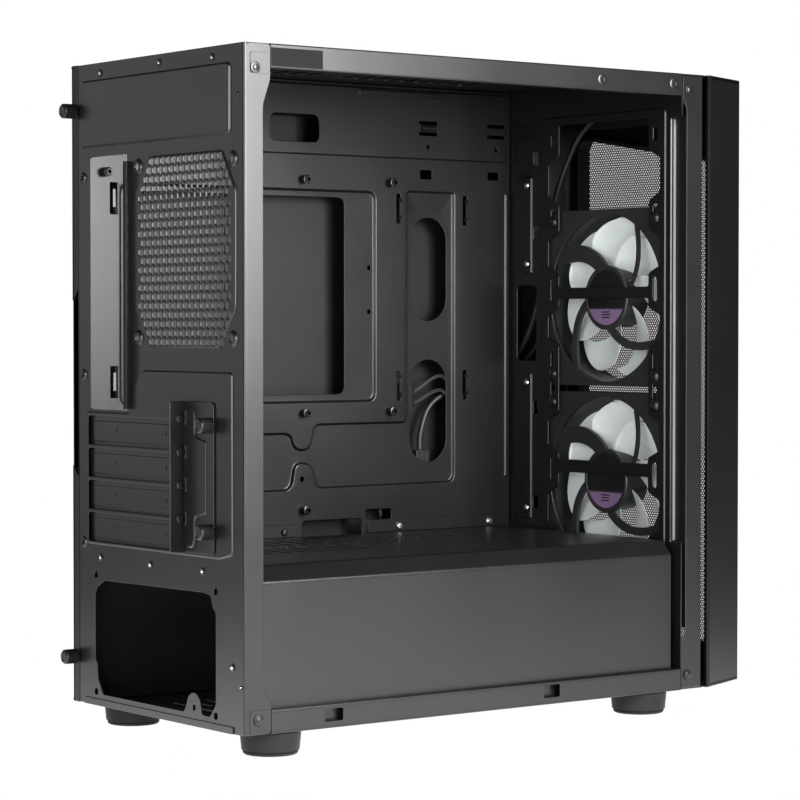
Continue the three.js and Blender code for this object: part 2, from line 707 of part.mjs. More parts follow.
function frameScrew(y, z) {
  const profile = [
    [0, 0],
    [3.2, 0],
    [3.2, 0.5],
    [2, 1.2],
    [0, 1.2],
  ];
  const points = profile.map(([radius, along]) => new THREE.Vector2(radius, along));
  const geometry = new THREE.LatheGeometry(points, 16);
  geometry.rotateZ(Math.PI / 2);
  geometry.translate(-GAP, y, z);
  return solidOf(geometry);
}
piece("frame_screw_rear_top", frameScrew(-7.6, 390.3), screwBlack);
piece("frame_screw_rear_bottom", frameScrew(-9.6, 9), screwBlack);
piece("frame_screw_front_top", frameScrew(-350, 394.3), screwBlack);
piece("frame_screw_front_bottom", frameScrew(-350, 10), screwBlack);

// ---- Leads, held behind the tray ----
const frontLead = tube(
  [
    [125, -381.6, 384],
    [125, -377, 384],
    [142, -373, 366],
    [158, -366, 320],
    [160, -358, 268],
    [171, -356, 236],
    [183, -353.5, 218],
    [186, -345, 208],
    [186.4, -325, 203],
    [186.4, -300, 196],
    [186.4, -279, 184],
    [186.4, -271, 166],
    [186.4, -270, 154],
  ],
  2,
  8,
  48,
);
piece("front_panel_lead", frontLead, leadRubber);
piece("front_panel_plug", block([182, 190], [-276, -264], [139, 153.6]), leadRubber);

function fanLead(z, side) {
  return tube(
    [
      [FRONT_FAN_X + FAN_SIZE / 2 + 3 * GAP, FAN_REAR_Y - 3, z],
      [146, -350.5, z + side * 2],
      [163, -351.5, 212 + side * 9],
      [182.2, -350, 202 + side * 6],
      [182.4, -338, 200 + side * 6],
      [182.4, -300, 184 + side * 5],
      [182.4, -286, 200 + side * 5],
      [182.4, -262, 190 + side * 4],
    ],
    1.4,
    8,
    30,
  );
}
piece("fan_lead_upper", fanLead(236, 1), leadRubber);
piece("fan_lead_lower", fanLead(150, -1), leadRubber);
piece("fan_plug", block([180.2, 185], [-260.4, -247], [180, 200]), leadRubber);

// ---- Origin: the middle of the whole object's base ----
const LEFTMOST = -GAP - 1.2; // the frame screws' heads
const REARMOST = 12.2; // the slot retainer's ledge
tower.position.set(-(LEFTMOST + CASE_WIDTH) / 2, -(BEZEL_FRONT + REARMOST) / 2, FOOT_HEIGHT);
const part = new THREE.Group();
part.add(tower);
export default part;
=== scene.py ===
# %% [markdown]
# # A desktop computer tower with its side off
#
# This lesson finishes a small computer case: a folded and painted steel box, a plastic front with a
# fine steel mesh, two fans, and the small hardware that holds it all together.
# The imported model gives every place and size. Each lesson step adds what makes the piece believable:
# pressed ribs, rolled edges, round holes, knurled screws, curved fan blades and paint with a grain.

import math

import bmesh
import bpy
import numpy as np
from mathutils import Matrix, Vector, geometry


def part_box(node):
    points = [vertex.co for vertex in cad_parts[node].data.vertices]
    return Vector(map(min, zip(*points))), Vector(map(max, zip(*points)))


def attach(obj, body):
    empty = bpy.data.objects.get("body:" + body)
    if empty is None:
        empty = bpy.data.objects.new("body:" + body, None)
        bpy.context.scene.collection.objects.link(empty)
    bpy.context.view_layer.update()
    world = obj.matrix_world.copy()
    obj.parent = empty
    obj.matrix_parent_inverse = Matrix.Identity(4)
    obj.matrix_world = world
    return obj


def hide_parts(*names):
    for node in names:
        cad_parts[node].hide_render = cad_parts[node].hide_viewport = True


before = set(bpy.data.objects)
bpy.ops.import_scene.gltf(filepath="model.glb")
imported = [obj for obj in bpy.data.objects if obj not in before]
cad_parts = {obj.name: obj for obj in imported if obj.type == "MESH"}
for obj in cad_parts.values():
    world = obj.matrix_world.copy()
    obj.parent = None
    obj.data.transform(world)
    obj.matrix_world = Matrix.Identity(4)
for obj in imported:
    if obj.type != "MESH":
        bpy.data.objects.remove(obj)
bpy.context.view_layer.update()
print("frame loaded:", len(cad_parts), "nodes")

# %% [markdown]
# ## Measuring in the case's own millimetres
#
# A case maker measures from the corner where the open side meets the rear panel. The side panel's box
# gives that corner, so sheet-metal sizes can be written as a maker would write them:
# x from the open side to the right, y negative towards the front, z up from the underside.

# %% The case's corner and scale
MM = 0.001
panel_low, panel_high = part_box("right_side_panel")
CORNER = Vector((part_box("rear_panel")[0].x, panel_high.y, panel_low.z))


def to_world(points):
    return np.asarray(points, float) * MM + np.array(CORNER)


def span(node):
    """The node's extent in case millimetres: ((x0, x1), (y0, y1), (z0, z1))."""
    low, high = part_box(node)
    a = (low - CORNER) / MM
    b = (high - CORNER) / MM
    return tuple((a[i], b[i]) for i in range(3))


def middle(node):
    return tuple(sum(extent) / 2 for extent in span(node))


HEIGHT = span("right_side_panel")[2][1]
print("case corner at", [round(v, 5) for v in CORNER], "height", round(HEIGHT, 1), "mm")

# %% [markdown]
# ## Outlines
#
# Most pieces start as a flat outline: a rounded rectangle for a pressed field, a circle for a screw
# hole, a hexagon for a vent. Growing or shrinking an outline by a set distance gives the line where
# a pressed slope ends. Moving each corner along the bisector of its two sides does that exactly.


# %% Outline helpers
def circle(a, b, radius, sides=16, start=0.0):
    turns = start + np.arange(sides) * 2 * math.pi / sides
    return np.stack([a + radius * np.cos(turns), b + radius * np.sin(turns)], 1)


def rounded(a0, a1, b0, b1, radius, steps=4):
    points = []
    corners = [(a1, b1, 0), (a0, b1, 1), (a0, b0, 2), (a1, b0, 3)]
    for a, b, quarter in corners:
        centre_a = a - radius if a == a1 else a + radius
        centre_b = b - radius if b == b1 else b + radius
        for i in range(steps + 1):
            turn = (quarter + i / steps) * math.pi / 2
            points.append((centre_a + radius * math.cos(turn), centre_b + radius * math.sin(turn)))
    return np.array(points)


def smoothed(points, radius, steps=4):
    """An outline with each of its corners rounded."""
    points = [Vector(p) for p in points]
    result = []
    for i, corner in enumerate(points):
        before = points[i - 1]
        after = points[(i + 1) % len(points)]
        reach = min(radius, (before - corner).length * 0.45, (after - corner).length * 0.45)
        start = corner + (before - corner).normalized() * reach
        end = corner + (after - corner).normalized() * reach
        for step in range(steps + 1):
            t = step / steps
            result.append(start.lerp(corner, t).lerp(corner.lerp(end, t), t))
    return np.array(result)


def signed_area(points):
    a, b = points[:, 0], points[:, 1]
    return 0.5 * np.sum(a * np.roll(b, -1) - np.roll(a, -1) * b)


def grown(points, distance):
    """The outline moved outwards by distance, or inwards if it is negative."""
    if signed_area(points) < 0:
        points = points[::-1]
    along = np.roll(points, -1, 0) - points
    along /= np.linalg.norm(along, axis=1)[:, None] + 1e-12
    out = np.stack([along[:, 1], -along[:, 0]], 1)
    before = np.roll(out, 1, 0)
    bisector = out + before
    length = np.maximum(np.sum(bisector * out, 1), 0.35)
    return points + bisector / length[:, None] * distance


def inside(points, outline):
    """Which points lie inside the outline."""
    a, b = points[:, 0][:, None], points[:, 1][:, None]
    a0, b0 = outline[:, 0], outline[:, 1]
    a1, b1 = np.roll(a0, -1), np.roll(b0, -1)
    crosses = (b0 > b) != (b1 > b)
    at = a0 + (b - b0) * (a1 - a0) / np.where(b1 == b0, 1e-12, b1 - b0)
    return (np.sum(crosses & (a < at), 1) % 2) == 1


def depth_inside(points, outline):
    """Each point's distance to the outline, positive inside it."""
    start = outline[None, :, :]
    step = np.roll(outline, -1, 0)[None, :, :] - start
    rel = points[:, None, :] - start
    t = np.clip(np.sum(rel * step, 2) / (np.sum(step * step, 2) + 1e-12), 0, 1)
    near = np.linalg.norm(rel - step * t[:, :, None], axis=2).min(1)
    return np.where(inside(points, outline), near, -near)


# %% [markdown]
# ## Pressed sheet
#
# A stamped panel is one flat blank with holes punched through it and fields pressed out of it.
# Modelling that with booleans leaves long thin faces that shade badly. A constrained triangulation
# is closer to how the blank is made: outline, holes and press lines are laid flat, triangulated once,
# and every point is then lifted by how far it lies inside each pressed field.


# %% The pressed sheet
def pressed_sheet(outline, holes=(), fields=(), thickness=1.0, soften=0.2):
    """fields are (outline, rise, slope width). Gives points (a, b, height) and faces."""
    loops, on_edge = [], []

    def take(points, edge):
        loops.append(np.asarray(points, float))
        on_edge.append(edge)

    take(outline, True)
    take(grown(outline, -soften), False)
    for hole in holes:
        take(hole, True)
        take(grown(hole, soften), False)
    for line, _, width in fields:
        for share in (0.0, 0.2, 0.4, 0.6, 0.8, 1.0):
            take(grown(line, -width * share), False)
    points, edges, flags = [], [], []
    for loop, edge in zip(loops, on_edge):
        first = len(points)
        points.extend(Vector(p) for p in loop)
        count = len(loop)
        edges.extend((first + i, first + (i + 1) % count) for i in range(count))
        flags.extend([edge] * count)
    flat, _, faces, came_from, _, _ = geometry.delaunay_2d_cdt(points, edges, [], 0, 1e-4, True)
    flat = np.array([tuple(p) for p in flat])
    faces = np.array([f for f in faces if len(f) == 3])
    centres = flat[faces].mean(1)
    keep = inside(centres, np.asarray(outline, float))
    for hole in holes:
        low, high = hole.min(0), hole.max(0)
        near = np.nonzero(keep & np.all((centres > low) & (centres < high), 1))[0]
        if len(near):
            keep[near[inside(centres[near], hole)]] = False
    faces = faces[keep]
    a, b, c = (flat[faces[:, i]] for i in range(3))
    turn = (b[:, 0] - a[:, 0]) * (c[:, 1] - a[:, 1]) - (b[:, 1] - a[:, 1]) * (c[:, 0] - a[:, 0])
    faces[turn < 0] = faces[turn < 0][:, ::-1]
    height = np.zeros(len(flat))
    for line, rise, width in fields:
        share = np.clip(depth_inside(flat, grown(line, 0)) / width, 0, 1)
        height += rise * share * share * (3 - 2 * share)
    edge = np.array([any(flags[i] for i in ids) if ids else False for ids in came_from])
    front = np.column_stack([flat, height - soften * 0.8 * edge])
    back = np.column_stack([flat, height - thickness])
    count = len(flat)
    sides = np.concatenate([faces[:, [0, 1]], faces[:, [1, 2]], faces[:, [2, 0]]])
    known = {(i, j) for i, j in sides.tolist()}
    walls = [(j, i, i + count, j + count) for i, j in sides.tolist() if (j, i) not in known]
    all_faces = [tuple(f) for f in faces.tolist()]
    all_faces += [tuple(i + count for i in f[::-1]) for f in faces.tolist()]
    return np.concatenate([front, back]), all_faces + walls


# %% [markdown]
# ## Bars, turned pieces and tubes
#
# Folded edges are the same cross-section all along their length, so they are drawn as a section and
# stretched. Screws, feet and buttons are turned round an axis. Leads follow a smooth path.


# %% Solid helpers
def bar(section, axis, low, high):
    """A closed section stretched along an axis. Sections are (y, z), (x, z) or (x, y)."""
    section = np.asarray(section, float)
    count = len(section)
    points = np.zeros((2 * count, 3))
    others = [i for i in range(3) if i != axis]
    points[:count, others] = section
    points[count:, others] = section
    points[:count, axis] = low
    points[count:, axis] = high
    faces = [tuple(range(count)), tuple(range(2 * count - 1, count - 1, -1))]
    faces += [(i, (i + 1) % count + 0, (i + 1) % count + count, i + count) for i in range(count)]
    return points, [f if len(f) != 4 or i < 2 else f[::-1] for i, f in enumerate(faces)]


def box_part(x, y, z):
    return bar([(y[0], z[0]), (y[1], z[0]), (y[1], z[1]), (y[0], z[1])], 0, x[0], x[1])


def turned(profile, centre, axis, sides=32):
    """profile is (radius, distance along the axis), from one end of the axis to the other."""
    points, faces = [], []
    others = [(axis + 1) % 3, (axis + 2) % 3]
    rings = []
    for radius, along in profile:
        ring = []
        for i in range(1 if radius == 0 else sides):
            p = np.array(centre, float)
            p[axis] += along
            p[others[0]] += radius * math.cos(2 * math.pi * i / sides)
            p[others[1]] += radius * math.sin(2 * math.pi * i / sides)
            ring.append(len(points))
            points.append(p)
        rings.append(ring)
    for lower, upper in zip(rings, rings[1:]):
        for i in range(sides):
            j = (i + 1) % sides
            face = [lower[i % len(lower)], lower[j % len(lower)]]
            face += [upper[j % len(upper)], upper[i % len(upper)]]
            face = list(dict.fromkeys(face))
            if len(face) > 2:
                faces.append(tuple(face))
    return np.array(points), faces


def ring_part(profile, centre, axis, sides=32):
    """A turned ring: the profile closes on itself instead of on the axis."""
    points, faces = turned(list(profile) + [profile[0]], centre, axis, sides)
    count = len(profile) * sides
    faces = [tuple(i if i < count else i - count for i in face) for face in faces]
    return points[:count], faces


def curve_through(points, steps):
    """A Catmull-Rom curve through the points."""
    points = np.asarray(points, float)
    padded = np.concatenate([[2 * points[0] - points[1]], points, [2 * points[-1] - points[-2]]])
    result = []
    for i in range(len(points) - 1):
        p0, p1, p2, p3 = padded[i : i + 4]
        for step in range(steps):
            t = step / steps
            result.append(
                0.5
                * (
                    2 * p1
                    + (p2 - p0) * t
                    + (2 * p0 - 5 * p1 + 4 * p2 - p3) * t**2
                    + (3 * p1 - p0 - 3 * p2 + p3) * t**3
                )
            )
    return np.array(result + [points[-1]])


def tube(path, radius, sides=12):
    path = np.asarray(path, float)
    direction = np.gradient(path, axis=0)
    direction /= np.linalg.norm(direction, axis=1)[:, None]
    normal = np.cross(direction[0], (0.3, 0.2, 0.9))
    points, faces = [], []
    for p, d in zip(path, direction):
        normal = normal - d * (normal @ d)
        normal /= np.linalg.norm(normal)
        other = np.cross(d, normal)
        for i in range(sides):
            turn = 2 * math.pi * i / sides
            points.append(p + radius * (normal * math.cos(turn) + other * math.sin(turn)))
    for row in range(len(path) - 1):
        for i in range(sides):
            j = (i + 1) % sides
            faces.append((row * sides + i, row * sides + j, (row + 1) * sides + j, (row + 1) * sides + i))
    faces.append(tuple(range(sides - 1, -1, -1)))
    faces.append(tuple(range((len(path) - 1) * sides, len(path) * sides)))
    return np.array(points), faces


def sheet_on(made, place):
    """A pressed sheet's points (a, b, height) put where they belong in the case."""
    points, faces = made
    a, b, h = points.T
    return np.stack(np.broadcast_arrays(*place(a, b, h)), 1), faces


# %% [markdown]
# ## Making a piece
#
# Each piece gathers its parts into one mesh, turns its faces outwards, softens sharp edges where a
# width is given, and shades smoothly except across real corners. Weighted normals keep large flat
# faces flat right up to a rounded edge. The piece then rides on the body that it belongs to and
# takes the place of its stand-in.


# %% The piece maker
def outward(mesh):
    work = bmesh.new()
    work.from_mesh(mesh)
    bmesh.ops.remove_doubles(work, verts=work.verts, dist=1e-7)
    bmesh.ops.recalc_face_normals(work, faces=work.faces)
    work.to_mesh(mesh)
    work.free()


def piece(name, parts, finishes, body, stands_for=(), edge=0.0, sharp=32.0):
    """parts are (points, faces) or (points, faces, finish index), in case millimetres."""
    points, faces, kinds = [], [], []
    count = 0
    for part in parts:
        points.append(part[0])
        faces.extend(tuple(i + count for i in face) for face in part[1])
        kinds.extend([part[2] if len(part) > 2 else 0] * len(part[1]))
        count += len(part[0])
    points = np.concatenate(points)
    used = np.unique([i for face in faces for i in face])
    new_index = np.zeros(len(points), int)
    new_index[used] = np.arange(len(used))
    faces = [tuple(new_index[list(face)].tolist()) for face in faces]
    mesh = bpy.data.meshes.new(name)
    mesh.from_pydata(to_world(points[used]).tolist(), [], faces)
    for material in finishes:
        mesh.materials.append(material)
    mesh.polygons.foreach_set("material_index", kinds)
    outward(mesh)
    mesh.shade_smooth()
    made = bpy.data.objects.new(name, mesh)
    bpy.context.scene.collection.objects.link(made)
    if edge:
        bevel = made.modifiers.new("soft edges", "BEVEL")
        bevel.width = edge * MM
        bevel.segments = 2
        bevel.limit_method = "ANGLE"
        bevel.angle_limit = math.radians(35)
        bevel.harden_normals = False
    mesh.set_sharp_from_angle(angle=math.radians(sharp))
    weigh = made.modifiers.new("flat faces", "WEIGHTED_NORMAL")
    weigh.keep_sharp = True
    weigh.weight = 80
    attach(made, body)
    if stands_for:
        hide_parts(*([stands_for] if isinstance(stands_for, str) else stands_for))
    return made


# %% [markdown]
# ## Powder coat
#
# The steel is painted with a matt black powder that bakes to a fine orange-peel grain. Two noises do
# it: a fine one for the grain, as a bump, and a broad one that drifts the colour and the gloss a
# little, as every oven batch does. The fine grain is about half a millimetre across.


# %% The finish maker
def finish(name, color, rough, metal=0.0, grain=0.5, bump=0.2, drift=0.12, spread=0.08, coat=0.0):
    material = bpy.data.materials.new(name)
    material.use_nodes = True
    nodes = material.node_tree.nodes
    links = material.node_tree.links
    shader = nodes["Principled BSDF"]
    shader.inputs["Metallic"].default_value = metal
    shader.inputs["Coat Weight"].default_value = coat
    place = nodes.new("ShaderNodeTexCoord")
    broad = nodes.new("ShaderNodeTexNoise")
    broad.inputs["Scale"].default_value = 14
    broad.inputs["Detail"].default_value = 4
    fine = nodes.new("ShaderNodeTexNoise")
    fine.inputs["Scale"].default_value = 1000 / grain
    fine.inputs["Detail"].default_value = 2
    tones = nodes.new("ShaderNodeValToRGB")
    tones.color_ramp.elements[0].position = 0.3
    tones.color_ramp.elements[1].position = 0.7
    tones.color_ramp.elements[0].color = (*[c * (1 - drift) for c in color], 1)
    tones.color_ramp.elements[1].color = (*[min(1, c * (1 + drift)) for c in color], 1)
    gloss = nodes.new("ShaderNodeMapRange")
    gloss.inputs["To Min"].default_value = max(0.02, rough - spread)
    gloss.inputs["To Max"].default_value = min(1, rough + spread)
    relief = nodes.new("ShaderNodeBump")
    relief.inputs["Strength"].default_value = bump
    relief.inputs["Distance"].default_value = 0.0001
    for noise in (broad, fine):
        links.new(place.outputs["Object"], noise.inputs["Vector"])
    links.new(broad.outputs["Fac"], tones.inputs["Fac"])
    links.new(tones.outputs["Color"], shader.inputs["Base Color"])
    links.new(broad.outputs["Fac"], gloss.inputs["Value"])
    links.new(gloss.outputs["Result"], shader.inputs["Roughness"])
    links.new(fine.outputs["Fac"], relief.inputs["Height"])
    links.new(relief.outputs["Normal"], shader.inputs["Normal"])
    return material


def tuned(material, **values):
    """Sets further values of a finish, named as the shader names them with _ for each space."""
    inputs = material.node_tree.nodes["Principled BSDF"].inputs
    for name, value in values.items():
        inputs[name.replace("_", " ")].default_value = value


coat_black = finish("powder_coat", (0.0045, 0.0045, 0.0047), 0.33, grain=0.5, bump=0.25, spread=0.05)
bright_steel = finish("bright_steel", (0.62, 0.62, 0.63), 0.28, metal=1.0, grain=0.3, bump=0.1)
print("finishes:", coat_black.name, bright_steel.name)

# %% [markdown]
# ## Rear panel
#
# The rear panel is one pressing: a raised field above the vents, a honeycomb in front of the rear
# fan, four slot windows, the power-supply cut-out, and a rolled lip beside the board's sockets.
# The holes are real holes, because light and the inside of the case show through them.

# %% The rear panel's holes
fan_x, fan_z = 64.0, 284.9
HEX_PITCH = 6.35
ROW_PITCH = HEX_PITCH * math.sqrt(3) / 2


def honeycomb():
    holes = []
    for row in range(-10, 11):
        z = fan_z + row * ROW_PITCH
        reach = 54.5 - max(0.0, abs(row) * ROW_PITCH - 34.0) * 0.5
        shift = 0.25 if row % 2 else -0.25
        for column in range(-9, 10):
            x = fan_x + (column + shift) * HEX_PITCH
            if abs(x - fan_x) < reach - 2.2:
                holes.append(circle(x, z, 2.75, 6, start=math.pi / 6))
    return holes


def slot_window(index):
    top = 183.4 - 20.32 * index
    return rounded(66, 176.6, top - 18.3, top, 2.2)


supply_cut = smoothed(
    [
        (158.7, 79.8), (168.2, 74.6), (170, 70.5), (170, 29.2), (167.6, 27.5), (167.0, 17.6), (160.5, 7.8),
        (66.5, 7.8), (64.2, 10.5), (61.5, 17.5), (57.5, 20.2), (52.5, 20.2), (49.0, 17.5), (46.6, 9.2),
        (44.5, 7.8), (37.5, 7.8), (31.1, 15.5), (31.1, 70.2), (34.5, 72.8), (36.8, 79.8), (45, 81.2),
    ],
    1.6,
)
supply_holes = [circle(100.1 + i * 69, 45.9 + j * 37, 2.1, 18) for i in (-1, 1) for j in (-1, 1)]
supply_holes.append(circle(54.8, 11.4, 1.7, 16))
fan_corners = [(fan_x + i * 52.5, fan_z + j * 52.5) for i in (-1, 1) for j in (-1, 1)]
rear_holes = honeycomb() + [slot_window(i) for i in range(4)] + [supply_cut] + supply_holes
rear_holes += [rounded(130.25, 174.7, 187.3, 346.1, 1.2)]
rear_holes += [circle(x, z, 2.2, 20) for x, z in fan_corners]
for level in ("upper", "lower"):
    (sx0, sx1), _, (sz0, sz1) = span(f"retainer_thumbscrew_{level}")
    rear_holes.append(circle((sx0 + sx1) / 2, (sz0 + sz1) / 2, 2.1, 20))
rear_holes += [circle(x, z, 1.4, 14) for x, z in ((183, 333.4), (183, 209.1), (183, 102.8))]
print("rear panel holes:", len(rear_holes))

# %% [markdown]
# ## Pressed fields
#
# Raised fields stiffen the flat sheet. The fan's four corners are bosses, and three small collared
# holes run down the edge. Each is an outline with a height and a slope for the press routine.

# %% The rear panel's pressed fields
upper_field = smoothed([(13.6, 352), (184.5, 352), (184.5, 394.5), (13.6, 394.5)], 3.5)
fan_field = smoothed(
    [(26, 226.5), (102, 226.5), (121, 250), (121, 320), (104, 343.5), (22, 343.5), (7.6, 320), (7.6, 250)], 3
)
slot_field = smoothed(
    [(11.6, 105), (11.6, 213), (112, 213), (122, 203), (126, 186.2), (180, 186.2), (180, 101.9),
        (26, 101.9)], 3
)
boss_fields = [(circle(x, z, 5.4, 28), 1.6, 2.2) for x, z in fan_corners]
collar_fields = [(circle(183, z, 3.8, 24), 1.3, 1.3) for z in (333.4, 209.1, 102.8)]
dimple = [(circle(6.2, 375, 1.7, 16), 0.9, 1.4)]
press_lines = [(upper_field, 1.3, 1.5), (fan_field, 0.9, 1.3), (slot_field, 1.0, 1.3)]
rear_sheet = pressed_sheet(
    rounded(1.2, 189.6, 0.3, HEIGHT - 0.3, 0.6, 2),
    rear_holes,
    press_lines + boss_fields + collar_fields + dimple,
    0.9,
    soften=0.25,
)
print("rear sheet faces:", len(rear_sheet[1]))

# %% [markdown]
# ## Folds and the rear pillar
#
# The panel's left edge folds forward into a narrow pillar, and its right edge into a flange behind
# the side panel. A fold in steel this thin has an outside radius of about one millimetre, and that
# small round edge is what catches a long highlight, so it is drawn as a real arc.


# %% The pillar, lip and small parts of the rear panel
def fold_section(flange, radius=1.3, thickness=0.9):
    """The section (x, y) of a fold from the rear face round to a flange at x = 0."""
    arc = [(radius - radius * math.sin(t), -radius + radius * math.cos(t))
        for t in np.linspace(0, math.pi / 2, 7)]
    inner = radius - thickness
    back = [(radius - inner * math.sin(t), -radius + inner * math.cos(t))
        for t in np.linspace(math.pi / 2, 0, 5)]
    return [(1.6, 0)] + arc + [(0, -flange), (thickness, -flange)] + back + [(1.6, -thickness)]


pillar_outline = smoothed(
    [(-1.6, 0.4), (-1.6, 404.6), (-18.6, 404.6), (-18.6, 384), (-13.4, 369), (-13.4, 26), (-18.6, 18),
        (-18.6, 0.4)],
    2.5,
)
pillar_holes = [circle(-7.6, 390.3, 1.5, 16), circle(-9.6, 9, 1.5, 16)]
pillar_sheet = pressed_sheet(pillar_outline, pillar_holes, [], 0.9)
rear_parts = [
    sheet_on(rear_sheet, lambda a, b, h: (a, h, b)),
    sheet_on(pillar_sheet, lambda a, b, h: (-h, a, b)),
    bar(fold_section(1.8), 2, 0.4, HEIGHT - 0.4),
    bar([(188.8, 0), (188.8, -13.8), (189.8, -13.8), (189.8, 0)], 2, 0.6, HEIGHT - 0.6),
]
lip = [(124.2, -0.4), (124.2, 3.4), (124.9, 4.7), (126.2, 5.25), (127.4, 4.6), (127.2, 3.9), (126.2, 4.4)]
lip += [(125.3, 3.9), (125.0, 3.2), (125.0, -0.4)]
rear_parts.append(bar(lip, 2, 188.6, 341.2))
rear_parts.append(box_part((124.2, 130), (-0.9, -0.1), (188.8, 341)))
for level in ("upper", "lower"):
    (sx0, sx1), _, (sz0, sz1) = span(f"panel_thumbscrew_{level}")
    screw_x, screw_z = (sx0 + sx1) / 2, (sz0 + sz1) / 2
    tab_outline = rounded(188.5, 196.1, screw_z - 7.6, screw_z + 7.6, 0.8)
    tab = pressed_sheet(tab_outline, [circle(screw_x, screw_z, 2.1, 20)], [], 1.0)
    rear_parts.append(sheet_on(tab, lambda a, b, h: (a, h - 2.3, b)))


def rivet(x, z, radius=2.4, base=0.0):
    """A blind rivet: a shallow dished head with a bright pin."""
    head = [(0, base - 0.4), (radius, base - 0.4), (radius, base + 0.25), (radius * 0.8, base + 0.6)]
    head += [(radius * 0.55, base + 0.7), (0, base + 0.7)]
    pin = [(0, base), (radius * 0.5, base + 0.6), (radius * 0.42, base + 1.0), (radius * 0.2, base + 1.2),
        (0, base + 1.24)]
    return [(*turned(head, (x, 0, z), 1, 24), 0), (*turned(pin, (x, 0, z), 1, 20), 1)]


for x, z in ((161.8, 398.2), (92.4, 399.5), (33.5, 398.3), (162.7, 94.2), (103.8, 93.7), (45, 93.9),
    (12.9, 39.5)):
    rear_parts.extend(rivet(x, z))
rear_parts.extend(rivet(3.4, 28.6, 1.1))
piece("rear_panel_pressed", rear_parts, [coat_black, bright_steel], "chassis", "rear_panel")

# %% [markdown]
# ## Slot covers
#
# Four press-out covers close the expansion slots from behind. Each has a long stiffening bead and
# two small cross-shaped press marks. Only the part inside its window shows, a millimetre deep.


# %% The four slot covers
def plus_mark(x, z, arm=1.7, half=0.42):
    corners = [(half, half), (half, arm), (-half, arm), (-half, half), (-arm, half), (-arm, -half)]
    corners += [(-half, -half), (-half, -arm), (half, -arm), (half, -half), (arm, -half), (arm, half)]
    return np.array([(x + a, z + b) for a, b in corners])


for index in range(4):
    (x0, x1), (y0, y1), (z0, z1) = span(f"slot_cover_{index + 1}")
    centre_z = (z0 + z1) / 2
    marks = [(plus_mark(145.2, centre_z + 1.2), -0.5, 0.25), (plus_mark(87, centre_z + 0.6), -0.5, 0.25)]
    bead = smoothed([(x0 + 8, z0 + 3), (172.6, z0 + 3), (172.6, z1 - 3), (x0 + 8, z1 - 3)], 2)
    cover = pressed_sheet(rounded(x0, x1, z0, z1, 1.0), [], [(bead, 0.45, 1.0)] + marks, 0.8)
    where = y0 + 0.8
    piece(
        f"slot_cover_pressed_{index + 1}",
        [sheet_on(cover, lambda a, b, h: (a, where + h, b))],
        [coat_black],
        "chassis",
        f"slot_cover_{index + 1}",
    )
print("slot covers made")

# %% [markdown]
# ## Slot retainer and its thumbscrews
#
# The covers are held by an angle of sheet steel outside the panel. Its plate has a raised middle and
# slides on two thumbscrews; its ledge stands out and carries the card screws. The thumbscrews are
# knurled, so the grip is drawn as ridges round the head, with a cross recess in the end.

# %% The retainer
(rx0, rx1), (ry0, ry1), (rz0, rz1) = span("slot_retainer")
raised = smoothed(
    [(60.4, 107), (60.4, 192), (52, 192), (49.4, 188), (49.4, 174.5), (37.2, 172), (37.2, 128),
        (49.4, 125.5),
     (49.4, 112), (52, 107)],
    2.2,
)
screw_slots = [rounded(31.0, 47.5, z - 2.1, z + 2.1, 2.05) for z in (181.1, 118)]
tab_windows = [rounded(58.2, 60.9, z - 4.3, z + 4.3, 0.5) for z in (184.8, 164.6, 144.7, 124.5)]
plate_holes = tab_windows + screw_slots
plate = pressed_sheet(rounded(rx0, rx1 - 0.6, rz0, rz1, 3.2), plate_holes, [(raised, 0.8, 1.5)], 0.8)
plate_y = ry0 + 1.75
ledge_holes = [circle(5.0, z, 1.5, 16) for z in (184.8, 164.6, 144.7, 124.5)]
ledge_outline = rounded(ry0 + 0.9, ry1, rz0, rz1, 0.7, 2)
ledge = pressed_sheet(ledge_outline, ledge_holes, [], 0.9)
retainer_parts = [
    sheet_on(plate, lambda a, b, h: (a, plate_y + h, b)),
    sheet_on(ledge, lambda a, b, h: (rx1 - 0.9 - h, a, b)),
]
for z in (184.8, 164.6, 144.7, 124.5):
    # The four tabs in the plate's windows take the lighter coat, a painted highlight.
    retainer_parts.append(box_part((59.0, 60.4), (ry0 + 0.8, ry0 + 1.3), (z - 4.2, z + 4.2)) + (1,))
    head = [(0, 0.8), (2.7, 0.8), (2.7, 0.2), (2.2, -0.5), (0, -0.7)]
    retainer_parts.append(turned(head, (rx1 - 1.5, 5.0, z), 0, 20))
# A lighter copy of the powder coat: a painted highlight for small tabs and strips that catch light.
painted_light_coat = finish("painted_highlight_coat", (0.06, 0.06, 0.062), 0.36, grain=0.5, bump=0.25)
piece("slot_retainer_pressed", retainer_parts, [coat_black, painted_light_coat], "retainer",
    "slot_retainer")

# %% [markdown]
# ## Thumbscrews
#
# Each is turned from bar with a plain shank. The retainer's screws sit a little further out than the
# panel's, because the pressed field under them stands a millimetre proud.

# %% The thumbscrews
screw_black = finish("black_zinc", (0.006, 0.006, 0.0062), 0.34, metal=0.1, grain=0.25, bump=0.2)


